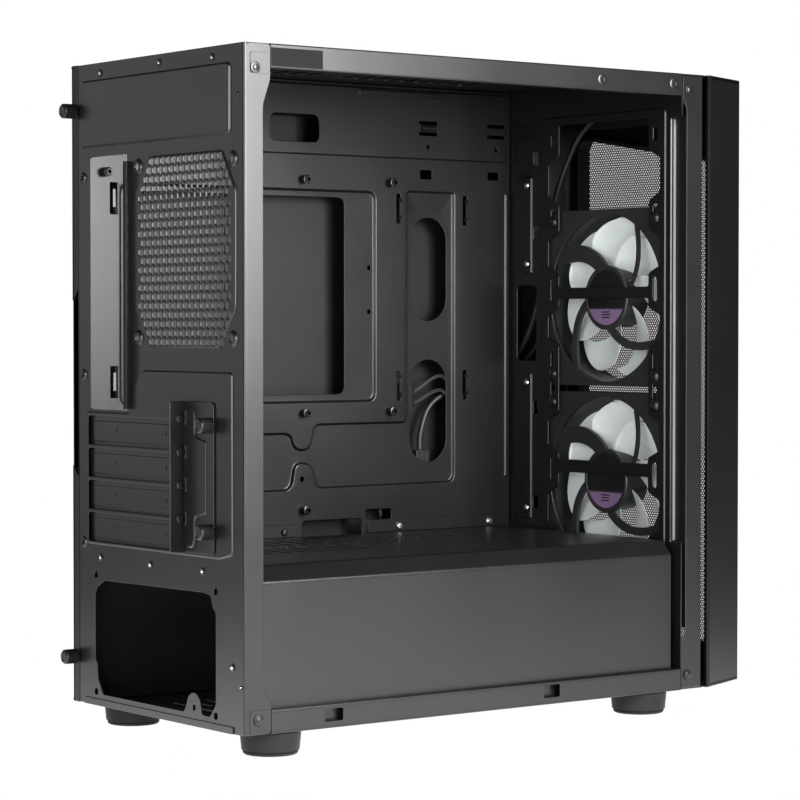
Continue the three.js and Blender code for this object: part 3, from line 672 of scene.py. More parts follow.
def knurled(node, body, shank=6.0, ridges=26):
    (x0, x1), (y0, y1), (z0, z1) = span(node)
    x, z = (x0 + x1) / 2, (z0 + z1) / 2
    radius, start = (z1 - z0) / 2, y0 + shank
    sides = ridges * 4
    rings = [(1.75, y0, 0), (1.75, start, 0), (radius - 0.9, start, 0), (radius - 0.15, start + 0.7, 0)]
    rings += [(radius - 0.15, start + 1.2, 1), (radius - 0.15, y1 - 1.5, 1), (radius - 0.2, y1 - 1.1, 0)]
    rings += [(radius - 1.1, y1 - 0.1, 0), (radius - 1.5, y1, 0), (radius - 1.9, y1 - 0.5, 0)]
    points, faces = [], []
    for ring_radius, y, ridged in rings:
        for i in range(sides):
            turn = 2 * math.pi * i / sides
            cut = 0.32 * (0.5 + 0.5 * math.cos(ridges * turn)) * ridged
            points.append((x + (ring_radius - cut) * math.cos(turn), y,
                z + (ring_radius - cut) * math.sin(turn)))
    for row in range(len(rings) - 1):
        for i in range(sides):
            j = (i + 1) % sides
            faces.append((row * sides + i, row * sides + j, (row + 1) * sides + j, (row + 1) * sides + i))
    faces.append(tuple(range(sides)))
    faces.append(tuple(range((len(rings) - 1) * sides, len(rings) * sides)))
    recess = [(plus_mark(x, z, 2.3, 0.55), -1.4, 0.5)]
    face = pressed_sheet(circle(x, z, radius - 1.7, 40), [], recess, 0.4, 0.1)
    end = sheet_on(face, lambda a, b, h: (a, y1 - 0.45 + h, b))
    piece(node + "_knurled", [(np.array(points), faces), end], [screw_black], body, node,
        sharp=40)


for level in ("upper", "lower"):
    knurled(f"retainer_thumbscrew_{level}", f"retainer_screw_{level}", 6.6)
    knurled(f"panel_thumbscrew_{level}", f"panel_screw_{level}")
print("thumbscrews knurled")

# %% [markdown]
# ## Right side panel
#
# The closed side is a shallow pan. Its rear lip has a long finger grip, a bend pressed inwards with
# slanted ends, so that the panel can be pulled back. The pan is built from its outline folded on all
# four edges with rounded folds.

# %% The right side panel
(sx0, sx1), (sy0, sy1), (sz0, sz1) = span("right_side_panel")
face_fields = [(smoothed([(sy0 + 22, sz0 + 22), (sy1 - 22, sz0 + 22), (sy1 - 22, sz1 - 22),
    (sy0 + 22, sz1 - 22)], 8), -0.6, 2.4)]
side_face = pressed_sheet(rounded(sy0 + 1.2, sy1 - 1.2, sz0 + 1.2, sz1 - 1.2, 0.6, 2), [], face_fields, 0.9)


def pan_edge(width=1.3, thickness=0.9):
    """The section (u, v) of a folded pan edge: u along the face, v away from it."""
    arc = [(width - width * math.sin(t), width - width * math.cos(t))
        for t in np.linspace(0, math.pi / 2, 7)]
    inner = width - thickness
    back = [(width - inner * math.sin(t), width - inner * math.cos(t))
        for t in np.linspace(math.pi / 2, 0, 5)]
    return np.array([(1.8, 0)] + arc + [(0, sx1 - sx0), (thickness, sx1 - sx0)] + back + [(1.8, thickness)])


edge_section = pan_edge()
u, v = edge_section.T
panel_parts = [sheet_on(side_face, lambda a, b, h: (sx1 + h, a, b))]
panel_parts.append(bar(np.stack([sx1 - v, sy0 + u], 1), 2, sz0, sz1))
panel_parts.append(bar(np.stack([sx1 - v, sz0 + u], 1), 1, sy0 + 0.2, sy1 - 0.2))
panel_parts.append(bar(np.stack([sx1 - v, sz1 - u], 1), 1, sy0 + 0.2, sy1 - 0.2))
lip_outline = [(sx0, sz0 + 0.2), (sx1 - 1.3, sz0 + 0.2), (sx1 - 1.3, 150.7), (sx0 + 0.9, 144.7),
    (sx0, 144.7)]
lower_lip = pressed_sheet(smoothed(lip_outline, 0.8, 3), [circle(193.2, 29, 2.2, 20)], [], 0.9)
upper_outline = [(sx0, 262.5), (sx0 + 0.9, 262.5), (sx1 - 1.3, 256.2), (sx1 - 1.3, sz1 - 0.2),
    (sx0, sz1 - 0.2)]
upper_lip = pressed_sheet(smoothed(upper_outline, 0.8, 3), [circle(193.2, 376, 2.2, 20)], [], 0.9)
for made in (lower_lip, upper_lip):
    panel_parts.append(sheet_on(made, lambda a, b, h: (a, sy1 + h, b)))
corner = np.array([(1.3, 0)] + [(1.3 - 1.3 * math.sin(t), 1.3 - 1.3 * math.cos(t))
    for t in np.linspace(0, math.pi / 2, 7)])
corner = np.concatenate([corner, [(0.0, 2.2), (0.9, 2.2), (0.9, 1.3), (1.3, 0.9)]])
for low, high in ((sz0, 150.9), (256.0, sz1)):
    panel_parts.append(bar(np.stack([sx1 - corner[:, 1], sy1 - corner[:, 0]], 1), 2, low, high))
panel_parts.append(bar([(sx1 - 0.9, sy1 - 14), (sx1, sy1 - 14), (sx1, sy1 - 1), (sx1 - 0.9, sy1 - 1)], 2,
    150, 257))
panel_coat = finish("panel_coat", (0.008, 0.008, 0.0083), 0.42, grain=0.5, bump=0.3)
tuned(panel_coat, Specular_IOR_Level=0.3)
piece("right_side_panel_folded", panel_parts, [panel_coat], "side_panel",
    "right_side_panel")
print("right side panel made")

# %% [markdown]
# ## Top and bottom panels
#
# Both panels end at the open side in a rail: the sheet folds down, then in again, to make a stiff
# edge that the left side panel hooks over. A folded edge is a line with thickness, so one helper
# rounds the line's corners and gives it the sheet's thickness.


# %% Folded sections
def rounded_path(path, radius, steps=6):
    path = [Vector(p) for p in path]
    result = [tuple(path[0])]
    for before, corner, after in zip(path, path[1:], path[2:]):
        reach = min(radius, (before - corner).length * 0.49, (after - corner).length * 0.49)
        start = corner + (before - corner).normalized() * reach
        end = corner + (after - corner).normalized() * reach
        for step in range(steps + 1):
            t = step / steps
            result.append(tuple(start.lerp(corner, t).lerp(corner.lerp(end, t), t)))
    result.append(tuple(path[-1]))
    return np.array(result)


def folded(path, thickness=0.9, radius=1.3):
    line = rounded_path(path, radius)
    along = np.gradient(line, axis=0)
    along /= np.linalg.norm(along, axis=1)[:, None]
    side = np.stack([-along[:, 1], along[:, 0]], 1)
    return np.concatenate([line, (line + side * thickness)[::-1]])


# %% [markdown]
# ## Top panel
#
# One sheet with vent slots and a folded rail along the open side. The rail is one continuous section,
# because two sheets lying face on face would show as a dark line.

# %% Top panel
rail_y = (-344.4, -18.9)
vent_slots = []
for centre in (-95, -225):
    for row in range(-4, 5):
        y = centre + row * 12.5
        for x0 in (41, 79, 117):
            vent_slots.append(rounded(x0, x0 + 32, y - 2.6, y + 2.6, 2.5))
roof_fields = [(rounded(30, 160, centre - 62, centre + 62, 6), -0.5, 1.6) for centre in (-95, -225)]
roof = pressed_sheet(rounded(2.2, 188.6, span("top_panel")[1][0] + 0.1, -1.6, 0.6, 2), vent_slots,
    roof_fields, 0.9)
top_parts = [
    sheet_on(roof, lambda a, b, h: (a, b, HEIGHT + h)),
    bar(folded([(3.0, HEIGHT), (0, HEIGHT), (0, 390.4), (7.5, 390.4), (9.8, 392.2)]), 1, *rail_y),
]
for y, z in ((-275.2, 397.3), (-337.1, 397.8)):
    dome = [(0, -0.9), (0, 0.0), (1.3, -0.1), (1.6, 0.25), (2.2, 0.4), (3.2, 0.2), (3.7, -0.1), (3.7, -0.9)]
    top_parts.append((*turned([(r, -along) for r, along in dome], (0.0, y, z), 0, 28), 0))
# The small block at the rail's front end takes the lighter coat, a painted highlight.
top_parts.append(box_part((1.2, 9), (-356, -345.2), (391, 398)) + (1,))
piece("top_panel_folded", top_parts, [coat_black, painted_light_coat], "chassis", "top_panel")

# %% [markdown]
# ## Bottom panel
#
# It mirrors the top panel, with a narrower lip, and its vents lie under the power supply.

# %% Bottom panel
supply_vents = []
for row in range(9):
    y = -40 - row * 12
    for x0 in (53, 84, 115):
        supply_vents.append(rounded(x0, x0 + 27, y - 2.7, y + 2.7, 2.6))
base = pressed_sheet(
    rounded(2.2, 188.6, span("bottom_panel")[1][0] + 0.1, -1.6, 0.6, 2), supply_vents,
    [(rounded(46, 150, -148, -28, 5), -0.4, 1.4)], 0.9
)
catches = [rounded(-70.8, -57.6, 4.1, 11.6, 0.8, 2), rounded(-240.4, -227.3, 4.4, 12.3, 0.8, 2)]
bottom_face = pressed_sheet(rounded(*rail_y, 1.2, 12.8, 0.3, 1), catches, [], 0.9, 0.15)
bottom_parts = [
    sheet_on(base, lambda a, b, h: (a, b, -h)),
    sheet_on(bottom_face, lambda a, b, h: (-h, a, b)),
    bar(folded([(0, 1.2), (0, 0), (3.0, 0)]), 1, *rail_y),
    bar(folded([(4.3, 14.3), (0, 14.3), (0, 12.8)]), 1, *rail_y),
]
rear_lip = smoothed([(11.7, 0.2), (182.5, 0.2), (182.5, 4.4), (11.7, 4.4)], 1.0)
lip_sheet = pressed_sheet(rear_lip, [], [], 0.7, 0.15)
bottom_parts.append(sheet_on(lip_sheet, lambda a, b, h: (a, 0.75 + h, b)))
piece("bottom_panel_folded", bottom_parts, [coat_black], "chassis", "bottom_panel")

# %% [markdown]
# ## Corner plates and rail pads
#
# At the pillar's two ends a small plate laps over the rail and is held by a screw. On the
# top rail a matt strip covers the steel. These are thin flat pieces, but their dark outlines
# are what tells the eye that the frame is made of several sheets.

# %% Corner plates, pads and frame screws
pad_dark = finish("matt_pad", (0.012, 0.012, 0.0125), 0.8, grain=0.6, bump=0.3, spread=0.04)
tuned(pad_dark, Specular_IOR_Level=0.08)
corner_parts = []
for outline, hole in (
    ([(-18.2, 387.0), (-4.4, 387.0), (-4.4, 399.4), (-18.2, 399.4)], (-7.6, 390.3)),
    ([(-18.2, 1.8), (-3.6, 1.8), (-3.6, 15.0), (-18.2, 15.0)], (-9.6, 9)),
):
    made = pressed_sheet(smoothed(outline, 1.6), [circle(*hole, 3.5, 24)], [], 0.25, 0.12)
    corner_parts.append(sheet_on(made, lambda a, b, h: (-0.32 - h, a, b)))
corner_parts.append(box_part((-0.2, 0.2), (-56, -19.2), (391.7, 402.6)) + (1,))
piece("corner_plates", corner_parts, [coat_black, pad_dark], "chassis")


def pan_screw(node):
    (x0, x1), (y0, y1), (z0, z1) = span(node)
    y, z = (y0 + y1) / 2, (z0 + z1) / 2
    radius = (z1 - z0) / 2
    washer = [(0.9, x1 - 0.1), (radius, x1 - 0.1), (radius, x1 - 0.45), (radius - 0.6, x1 - 0.6),
        (0.9, x1 - 0.6)]
    head = [(0, x1 - 0.3), (radius * 0.62, x1 - 0.3), (radius * 0.6, x0 + 0.3), (radius * 0.4, x0), (0, x0)]
    parts = [ring_part(washer, (0, y, z), 0, 28), turned(head, (0, y, z), 0, 28)]
    face = pressed_sheet(circle(y, z, radius * 0.38, 20), [], [(plus_mark(y, z, 0.9, 0.28), -0.3, 0.15)],
        0.2, 0.05)
    parts.append((*sheet_on(face, lambda a, b, h: (x0 + 0.02 - h, a, b)), 1))
    piece(node + "_head", parts, [screw_black, bright_steel], "chassis", node)


for end in ("rear_top", "rear_bottom", "front_top", "front_bottom"):
    pan_screw(f"frame_screw_{end}")
print("frame edges made")

# %% [markdown]
# ## Motherboard tray
#
# The tray has a window behind the processor, two tall oval holes for cables, and several pressed
# fields. The fields step in and out by up to two millimetres, and their slopes are what makes the bright
# and dark lines across the sheet. All of them are fields of one pressed sheet.


# %% The tray
def forward(points):
    """Outlines given as (distance forward, height) turned into (y, z)."""
    return np.array([(-a, b) for a, b in points])


board_window = rounded(-201.8, -38, 193.7, 326.3, 5)
window_field = smoothed(forward([(24, 187.6), (227.6, 187.6), (227.6, 331.8), (24, 331.8)]), 7)
cable_field = smoothed(
    forward(
        [(16, 129), (154, 129), (158.5, 133), (160.5, 145), (164, 147), (171.5, 146), (174.5, 141),
            (176.5, 131.5),
         (181, 129.8), (292, 130.2), (295.6, 134), (295.6, 333), (254.5, 333), (252.6, 329), (252.6, 174.4),
         (178, 174.4), (174, 171), (172.6, 161), (169.5, 157.6), (163, 157.6), (159.5, 160.5), (158, 166.5),
         (153, 168.8), (16, 168.8)]
    ),
    2.6,
)
upper_field = smoothed(forward([(4, 354), (341, 354), (341, 402), (4, 402)]), 2)
fold_field = smoothed(forward([(339.4, 133), (343.6, 133), (343.6, 333), (339.4, 333)]), 1.0)
small_field = smoothed(forward([(211.5, 396.2), (283, 396.2), (283, 400.5), (211.5, 400.5)]), 1.5)
tray_fields = [(window_field, -2.0, 2.2), (cable_field, -2.0, 2.0), (upper_field, 1.2, 1.4)]
tray_fields += [(fold_field, 1.0, 1.2), (small_field, 0.7, 1.0)]
tray_holes = [
    board_window,
    rounded(-289.1, -257.4, 243.2, 314.4, 15.8, 10),
    rounded(-289.1, -257.4, 145.5, 216.2, 15.8, 10),
    rounded(-179, -138.9, 362.6, 381, 4.5),
    rounded(-215, -165, 88, 109, 3),
    rounded(-275, -265, 341, 347, 0.6, 2),
    rounded(-334.6, -324.6, 342, 347.4, 0.6, 2),
    rounded(-239.8, -218.5, 107.6, 114.6, 0.6, 2),
]
for y in (-246.4, -304.2):
    tray_holes += [rounded(y - 1.7, y + 1.7, z, z + 20, 0.4, 2) for z in (310, 188.5)]
tray_holes += [rounded(-22.6, -17, z, z + 20, 0.5, 2) for z in (311, 194)]
for y in (-271, -331):
    tray_holes += [rounded(y - 8, y + 8, z - 1.2, z + 1.2, 0.5, 2) for z in (372, 379.4)]
    tray_holes.append(circle(y, 363, 1.4, 14))
tray_holes += [circle(-222.5, z, 1.5, 16) for z in (279.3, 249.4)]
tray_holes.append(circle(-165.5, 137.0, 1.7, 16))
tray_sheet = pressed_sheet(rounded(-344.4, -2.4, 1.6, 403.4, 0.6, 2), tray_holes, tray_fields, 0.9, 0.25)
TRAY_X = span("motherboard_tray")[0][0]
tray_parts = [sheet_on(tray_sheet, lambda a, b, h: (TRAY_X - h, a, b))]


def tie_bridge(y, z0, z1):
    """A lanced strip beside a slot, bowed out of the sheet, that a cable tie passes under."""
    path = [(TRAY_X, z0), (TRAY_X - 1.8, z0 + 2.4), (TRAY_X - 1.8, z1 - 2.4), (TRAY_X, z1)]
    return bar(folded(path, 0.8, 1.2), 1, y - 1.2, y + 1.2)


tray_parts.append(bar(folded([(TRAY_X, 374), (TRAY_X - 1.8, 375), (TRAY_X - 1.8, 376.6), (TRAY_X, 377.6)],
    0.8), 1, -277, -265))
for y in (-246.4, -304.2):
    for z in (313, 191.5):
        tray_parts.append(tie_bridge(y, z, z + 14))
for z in (311, 194):
    # The strips in the two tie slots take the lighter coat, a painted highlight.
    tray_parts.append(box_part((TRAY_X + 0.1, TRAY_X + 0.8), (-21.0, -19.2), (z + 4.5, z + 16)) + (1,))
tray_parts.append(tie_bridge(-229, 107, 115))
piece("motherboard_tray_pressed", tray_parts, [coat_black, painted_light_coat], "chassis",
    "motherboard_tray")
print("tray faces:", len(tray_sheet[1]))

# %% [markdown]
# ## Standoffs
#
# Eight posts hold the board clear of the tray. Each is drawn round, with a plain bore and a bottom
# inside it; the thread and any flats for a spanner are left out.

# %% The standoffs
for index in range(8):
    node = f"standoff_{index + 1}"
    (x0, x1), (y0, y1), (z0, z1) = span(node)
    y, z, radius = (y0 + y1) / 2, (z0 + z1) / 2, (z1 - z0) / 2
    post = [(1.35, x0), (radius * 0.62, x0), (radius * 0.72, x0 + 0.5), (radius * 0.72, x0 + 1.2)]
    post += [(radius * 0.95, x0 + 1.5), (radius * 0.95, x1 - 0.3), (radius * 0.8, x1), (1.35, x1)]
    bottom = [(0, x1 - 1.0), (1.4, x1 - 1.0), (1.4, x1 - 0.5), (0, x1 - 0.5)]
    parts = [ring_part(post, (0, y, z), 0, 24), turned(bottom, (0, y, z), 0, 12)]
    piece(node + "_threaded", parts, [screw_black], "chassis", node)
print("standoffs made")

# %% [markdown]
# ## Power-supply shroud
#
# One folded sheet hides the power supply: an upright face, a bevel with a crisp lower bend, and a
# flat top with short vent slots, which ends in a flange screwed to the tray.

# %% The shroud
(hx0, hx1), (hy0, hy1), (hz0, _) = span("psu_shroud")
face = pressed_sheet(rounded(hy0, hy1, hz0, 87.6, 0.4, 1), [], [], 0.9, 0.1)
shroud_slots = [rounded(x, x + 42, y - 2.2, y + 2.2, 2.1) for x in (72, 122) for y in range(-144, -28, 12)]
shroud_slots += [rounded(x, x + 12, y - 1.9, y + 1.9, 1.8) for x in (122, 140, 158)
    for y in range(-252, -150, 12)]
shroud_slots = [s for s in shroud_slots if not (s[:, 0].max() > 163 and s[:, 1].min() < -155)]
top = pressed_sheet(rounded(16.5, hx1 - 1.2, hy0, hy1, 0.4, 1), shroud_slots, [], 0.9, 0.2)
shroud_top = 98.5
section = [(hx0, 87.6), (hx0, 89.2), (hx0 + 9.3, shroud_top), (hx0 + 13.0, shroud_top)]
flange = pressed_sheet(
    smoothed(forward([(3.4, 98.8), (161, 98.8), (161, 107.2), (158, 107.4), (3.4, 107.4)]), 1.2),
    [circle(-30, 103, 1.5, 14)],
    [],
    0.8,
)
flange_front = pressed_sheet(
    smoothed(forward([(219, 98.8), (339.5, 98.8), (339.5, 107.4), (222, 107.4), (219, 105)]), 1.4), [],
    [], 0.8
)
shroud_parts = [
    sheet_on(face, lambda a, b, h: (hx0 - h, a, b)),
    sheet_on(top, lambda a, b, h: (a, b, shroud_top + h)),
    bar(folded(section, -0.9, 1.0), 1, hy0, hy1),
    sheet_on(flange, lambda a, b, h: (hx1 - 0.9 - h, a, b)),
    sheet_on(flange_front, lambda a, b, h: (hx1 - 0.9 - h, a, b)),
]
for y in (-150.2, -245.8, -325):
    head = [(0, hx1 - 1.0), (2.6, hx1 - 1.0), (2.6, hx1 - 1.7), (1.9, hx1 - 2.5), (0, hx1 - 2.8)]
    shroud_parts.append((*turned(head, (0, y, 102.3), 0, 20), 1 if y < -160 else 0))
piece("psu_shroud_folded", shroud_parts, [coat_black, bright_steel], "chassis",
    "psu_shroud")
print("shroud made")

# %% [markdown]
# ## Front chassis panel
#
# The plate that carries the fans has a stepped opening for each fan, crossed by two bars, with slots
# beside it for other fan sizes. Its edge at the open side is set back, and a thin strip on the step
# there is painted light grey, a painted highlight for the thin white line where it shines.


# %% The plate's openings
def stepped_opening(profile):
    """A closed outline from (half width, height) pairs, mirrored about the fans' centre line."""
    fan_line = middle("fan_frame_upper")[0]
    right = [(fan_line + half, z) for half, z in profile]
    left = [(fan_line - half, z) for half, z in reversed(profile)]
    return smoothed(right + left, 2.0)


windows = [
    stepped_opening(
        [(46, 265.9), (46, 275), (57.2, 280), (57.2, 299), (46, 304), (46, 323), (57.2, 329), (57.2, 351),
            (46, 357),
         (46, 378)]
    ),
    stepped_opening(
        [(46, 147.7), (46, 152), (57.2, 157), (57.2, 175), (46, 180), (46, 226), (57.2, 231), (57.2, 247),
            (46, 252),
         (46, 258.3)]
    ),
    stepped_opening([(46, 84), (46, 99), (57.2, 104), (57.2, 124), (46, 129), (46, 139)]),
]
fan_line = middle("fan_frame_upper")[0]
side_slots = []
for z0, z1 in ((362, 372), (314, 321), (256, 273), (210.5, 222), (190.5, 202), (132, 149), (86, 94)):
    side_slots += [rounded(fan_line + i * 52.5 - 1.9, fan_line + i * 52.5 + 1.9, z0, z1, 1.85)
        for i in (-1, 1)]
plate_holes = windows + side_slots + [rounded(150, 171, 215, 268, 3.5)]
plate_holes += [rounded(148, 153, z, z + 9, 0.6, 2) for z in (112, 178, 300, 352)]
edge_step = smoothed([(-6, 97), (11.8, 97), (11.8, 377), (-6, 377)], 1.0)
strips = [(smoothed([(154, z0), (162, z0), (162, z1), (154, z1)], 1.5), 1.2, 1.2) for z0,
    z1 in ((276, 344), (104, 207))]
rim = smoothed([(16, 70), (143, 70), (143, 384), (16, 384)], 4)
plate_fields = [(edge_step, -3.4, 0.7), (rim, 0.9, 1.2)] + strips
(_, px1), (_, py1), (pz0, pz1) = span("front_chassis_panel")
plate_y = py1
fan_plate = pressed_sheet(rounded(0.9, px1 - 0.6, pz0, pz1, 0.6, 2), plate_holes, plate_fields, 0.9, 0.25)
pillar_outline = smoothed(
    [(-362.3, pz0), (-345.2, pz0), (-345.2, 33), (-348.5, 40), (-348.5, 382), (-345.2, 388), (-345.2, pz1),
     (-362.3, pz1)],
    1.5,
)
front_pillar = pressed_sheet(pillar_outline, [circle(-350, 394.3, 1.4, 16), circle(-350, 10, 1.4, 16)],
    [], 0.9, 0.42)
front_parts = [
    sheet_on(fan_plate, lambda a, b, h: (a, plate_y + h, b)),
    sheet_on(front_pillar, lambda a, b, h: (-h, a, b)),
    bar([(0.95, -348.6), (0.95, -349.6), (4.5, -349.6), (4.5, -348.6)], 2, 41, 381),
    bar([(0.95, -361.2), (0.95, -362.2), (4.5, -362.2), (4.5, -361.2)], 2, pz0, pz1),
    bar([(px1 - 1.0, -345.3), (px1 - 0.1, -345.3), (px1 - 0.1, -362.2), (px1 - 1.0, -362.2)], 2, pz0, pz1),
]
# A thin strip on the set-back step in light grey paint: a painted highlight.
front_parts.append((*bar([(10.3, -346.4), (10.3, -349.3), (11.0, -349.3), (11.0, -346.4)], 2, 98.5,
    375.5), 2))
for x, z in ((158, 338), (158, 283), (158, 200), (158, 112)):
    head = [(0, plate_y + 1.7), (2.3, plate_y + 1.7), (2.3, plate_y + 2.3), (1.5, plate_y + 3.0),
        (0, plate_y + 3.2)]
    front_parts.append((*turned(head, (x, 0, z), 1, 18), 1))
# Light grey paint for that strip, a painted highlight.
painted_highlight_edge = finish("painted_highlight_strip", (0.1, 0.1, 0.1), 0.5, grain=0.5, bump=0.2)
piece("front_chassis_panel_pressed", front_parts, [coat_black, bright_steel, painted_highlight_edge], "chassis",
    "front_chassis_panel")
print("fan plate faces:", len(fan_plate[1]))

# %% [markdown]
# ## Fans
#
# Each fan is a square moulded frame with a round duct, four curved arms that carry the motor, and a
# seven-bladed rotor in milky plastic. The arms curve so that a blade never passes a whole arm at
# once, which keeps the fan quiet. A blade is a twisted surface: each point moves forward along the
# axis in proportion to its angle, like a screw thread.

# %% Fan finishes
fan_black = finish("fan_plastic", (0.016, 0.016, 0.017), 0.38, grain=0.4, bump=0.12)
label_dark = finish("label_dark", (0.006, 0.006, 0.007), 0.25, grain=0.5, bump=0.03)
label_mauve = finish("label_mauve", (0.13, 0.085, 0.15), 0.35, grain=0.5, bump=0.03)
blade_white = finish("fan_blade", (0.4, 0.425, 0.425), 0.3, grain=1.0, bump=0.04, drift=0.03)
tuned(blade_white, Subsurface_Weight=0.4, Subsurface_Scale=0.003, Subsurface_Radius=(1, 1, 1))
# The blades' faint glow is painted light, standing in for light let through them from behind.
tuned(blade_white, Emission_Color=(0.9, 0.95, 0.95, 1), Emission_Strength=0.1)
print("fan finishes made")


# %% [markdown]
# ## Fan frame
#
# A moulded square with a round bore, its arms swept against the blades to keep the fan quiet.

# %% The fan frame
def fan_arm(x, y0, y1, z, outer_angle, width):
    """A curved arm from the duct wall in to the motor."""
    inner, outer, sweep = 18.0, 58.5, 52.0
    left, right = [], []
    for i in range(17):
        share = i / 16
        radius = outer + (inner - outer) * share
        turn = math.radians(outer_angle + sweep * share**1.15)
        centre = np.array([math.cos(turn), math.sin(turn)]) * radius
        ahead = math.radians(outer_angle + sweep * min(1.06, share + 0.06) ** 1.15)
        next_radius = outer + (inner - outer) * (share + 0.06)
        step = np.array([math.cos(ahead), math.sin(ahead)]) * next_radius - centre
        step /= np.linalg.norm(step)
        normal = np.array([-step[1], step[0]])
        half = width * (0.5 + 0.12 * (1 - share))
        left.append(centre + normal * half)
        right.append(centre - normal * half)
    outline = np.array(left + right[::-1]) + np.array([x, z])
    return bar(outline, 1, y0, y1)


def fan_frame(level):
    node = f"fan_frame_{level}"
    (x0, x1), (y0, y1), (z0, z1) = span(node)
    x, z = (x0 + x1) / 2, (z0 + z1) / 2
    corners = [(x + i * 52.5, z + j * 52.5) for i in (-1, 1) for j in (-1, 1)]
    screw_holes = [circle(a, b, 2.15, 18) for a, b in corners]
    outline = rounded(x0, x1, z0, z1, 6)
    parts = []
    for face_y, direction in ((y1, 1), (y0, -1)):
        flange = pressed_sheet(outline, [circle(x, z, 57, 96)] + screw_holes, [], 3.6, 0.4)
        parts.append(sheet_on(flange, lambda a, b, h, f=face_y, d=direction: (a, f + d * h, b)))
    duct = [(57.0, y0 + 0.4), (58.6, y0 + 0.4), (58.6, y1 - 0.4), (57.0, y1 - 0.4)]
    parts.append(ring_part(duct, (x, 0, z), 1, 96))
    for a, b in corners:
        post = [(2.2, y0 + 1), (4.4, y0 + 1), (4.4, y1 - 1), (2.2, y1 - 1)]
        parts.append(ring_part(post, (a, 0, b), 1, 20))
    for angle, width, depth in ((28, 10.0, 2.6), (121, 2.6, 1.6), (302, 4.4, 2.4), (212, 4.6, 2.4)):
        parts.append(fan_arm(x, y1 - 0.7 - depth, y1 - 0.7, z, angle, width))
    motor = [(0, y1 - 4.4), (21.6, y1 - 4.4), (21.9, y1 - 4.0), (21.9, y1 - 1.0), (21.2, y1 - 0.45)]
    motor += [(19.6, y1 - 0.4), (19.2, y1 - 0.9), (0, y1 - 0.9)]
    parts.append(turned(motor, (x, 0, z), 1, 64))
    for side, kind in ((1, 1), (-1, 2)):
        turns = np.linspace(math.asin(-0.36), math.pi - math.asin(-0.36), 40)
        if side < 0:
            turns = np.linspace(math.pi - math.asin(-0.42), 2 * math.pi + math.asin(-0.42), 28)
        half = np.stack([x + 18.6 * np.cos(turns), z + 18.6 * np.sin(turns)], 1)
        disc = bar(half, 1, y1 - 0.9, y1 - 0.55)
        parts.append((*disc, kind))
    for row in range(3):
        parts.append((*box_part((x - 4, x + 4), (y1 - 0.56, y1 - 0.5),
            (z - 13.9 + row * 1.9, z - 13.2 + row * 1.9)), 1))
    piece(node + "_moulded", parts, [fan_black, label_dark, label_mauve], "chassis", node)


for level in ("upper", "lower"):
    fan_frame(level)
print("fan frames made")

# %% [markdown]
# ## Rotor
#
# Seven twisted blades round a hub, moulded in milky plastic. A blade is a swept and twisted sheet, so
# it is built as rows of points from root to tip.

# %% The rotor
BLADES, ROOT, TIP, LEAD = 7, 17.5, 54.4, 19.0


def rotor(level):
    node = f"fan_rotor_{level}"
    (x0, x1), (y0, y1), (z0, z1) = span(node)
    x, z = middle(f"fan_frame_{level}")[0], middle(f"fan_frame_{level}")[2]
    middle_y = (y0 + y1) / 2 - 0.4
    rows, columns = 12, 14
    parts = []
    for blade in range(BLADES):
        points = []
        for side in (0.8, -0.8):
            for i in range(rows + 1):
                share = i / rows
                radius = ROOT + (TIP - ROOT) * share
                sweep = 0.62 * share**1.3
                reach = 0.38 + 0.08 * share
                for j in range(columns + 1):
                    across = j / columns * 2 - 1
                    rounding = 1 - 0.1 * max(0.0, share - 0.75) * 4 * across * across
                    turn = across * reach + sweep
                    pitch = LEAD * across * 0.36 * (0.95 - 0.18 * share)
                    y = middle_y - pitch + 1.8 * across * across * share
                    y += side * (1 - 0.7 * abs(across) ** 3)
                    angle = turn + blade * 2 * math.pi / BLADES + 0.2
                    r = radius * rounding
                    points.append((x + r * math.cos(angle), y, z + r * math.sin(angle)))
        grid = (rows + 1) * (columns + 1)
        faces = []
        for i in range(rows):
            for j in range(columns):
                a = i * (columns + 1) + j
                quad = (a, a + 1, a + columns + 2, a + columns + 1)
                faces.append(quad)
                faces.append(tuple(k + grid for k in quad[::-1]))
        rim_loop = [j for j in range(columns + 1)]
        rim_loop += [i * (columns + 1) + columns for i in range(1, rows + 1)]
        rim_loop += [rows * (columns + 1) + j for j in range(columns - 1, -1, -1)]
        rim_loop += [i * (columns + 1) for i in range(rows - 1, 0, -1)]
        for a, b in zip(rim_loop, rim_loop[1:] + rim_loop[:1]):
            faces.append((b, a, a + grid, b + grid))
        parts.append((np.array(points), faces))
    hub = [(0, y0), (18.0, y0), (19.6, y0 + 1.4), (20.0, y0 + 3), (20.0, y1 - 1), (19.4, y1 - 0.4),
        (0, y1 - 0.4)]
    parts.append((*turned(hub, (x, 0, z), 1, 64), 1))
    piece(node + "_blades", parts, [blade_white, fan_black], f"rotor_{level}", node, sharp=45)


for level in ("upper", "lower"):
    rotor(level)
print("rotors made")


# %% [markdown]
# ## Fan screws
#
# Coarse self-tapping screws hold each fan at its corners. Only their heads are seen.

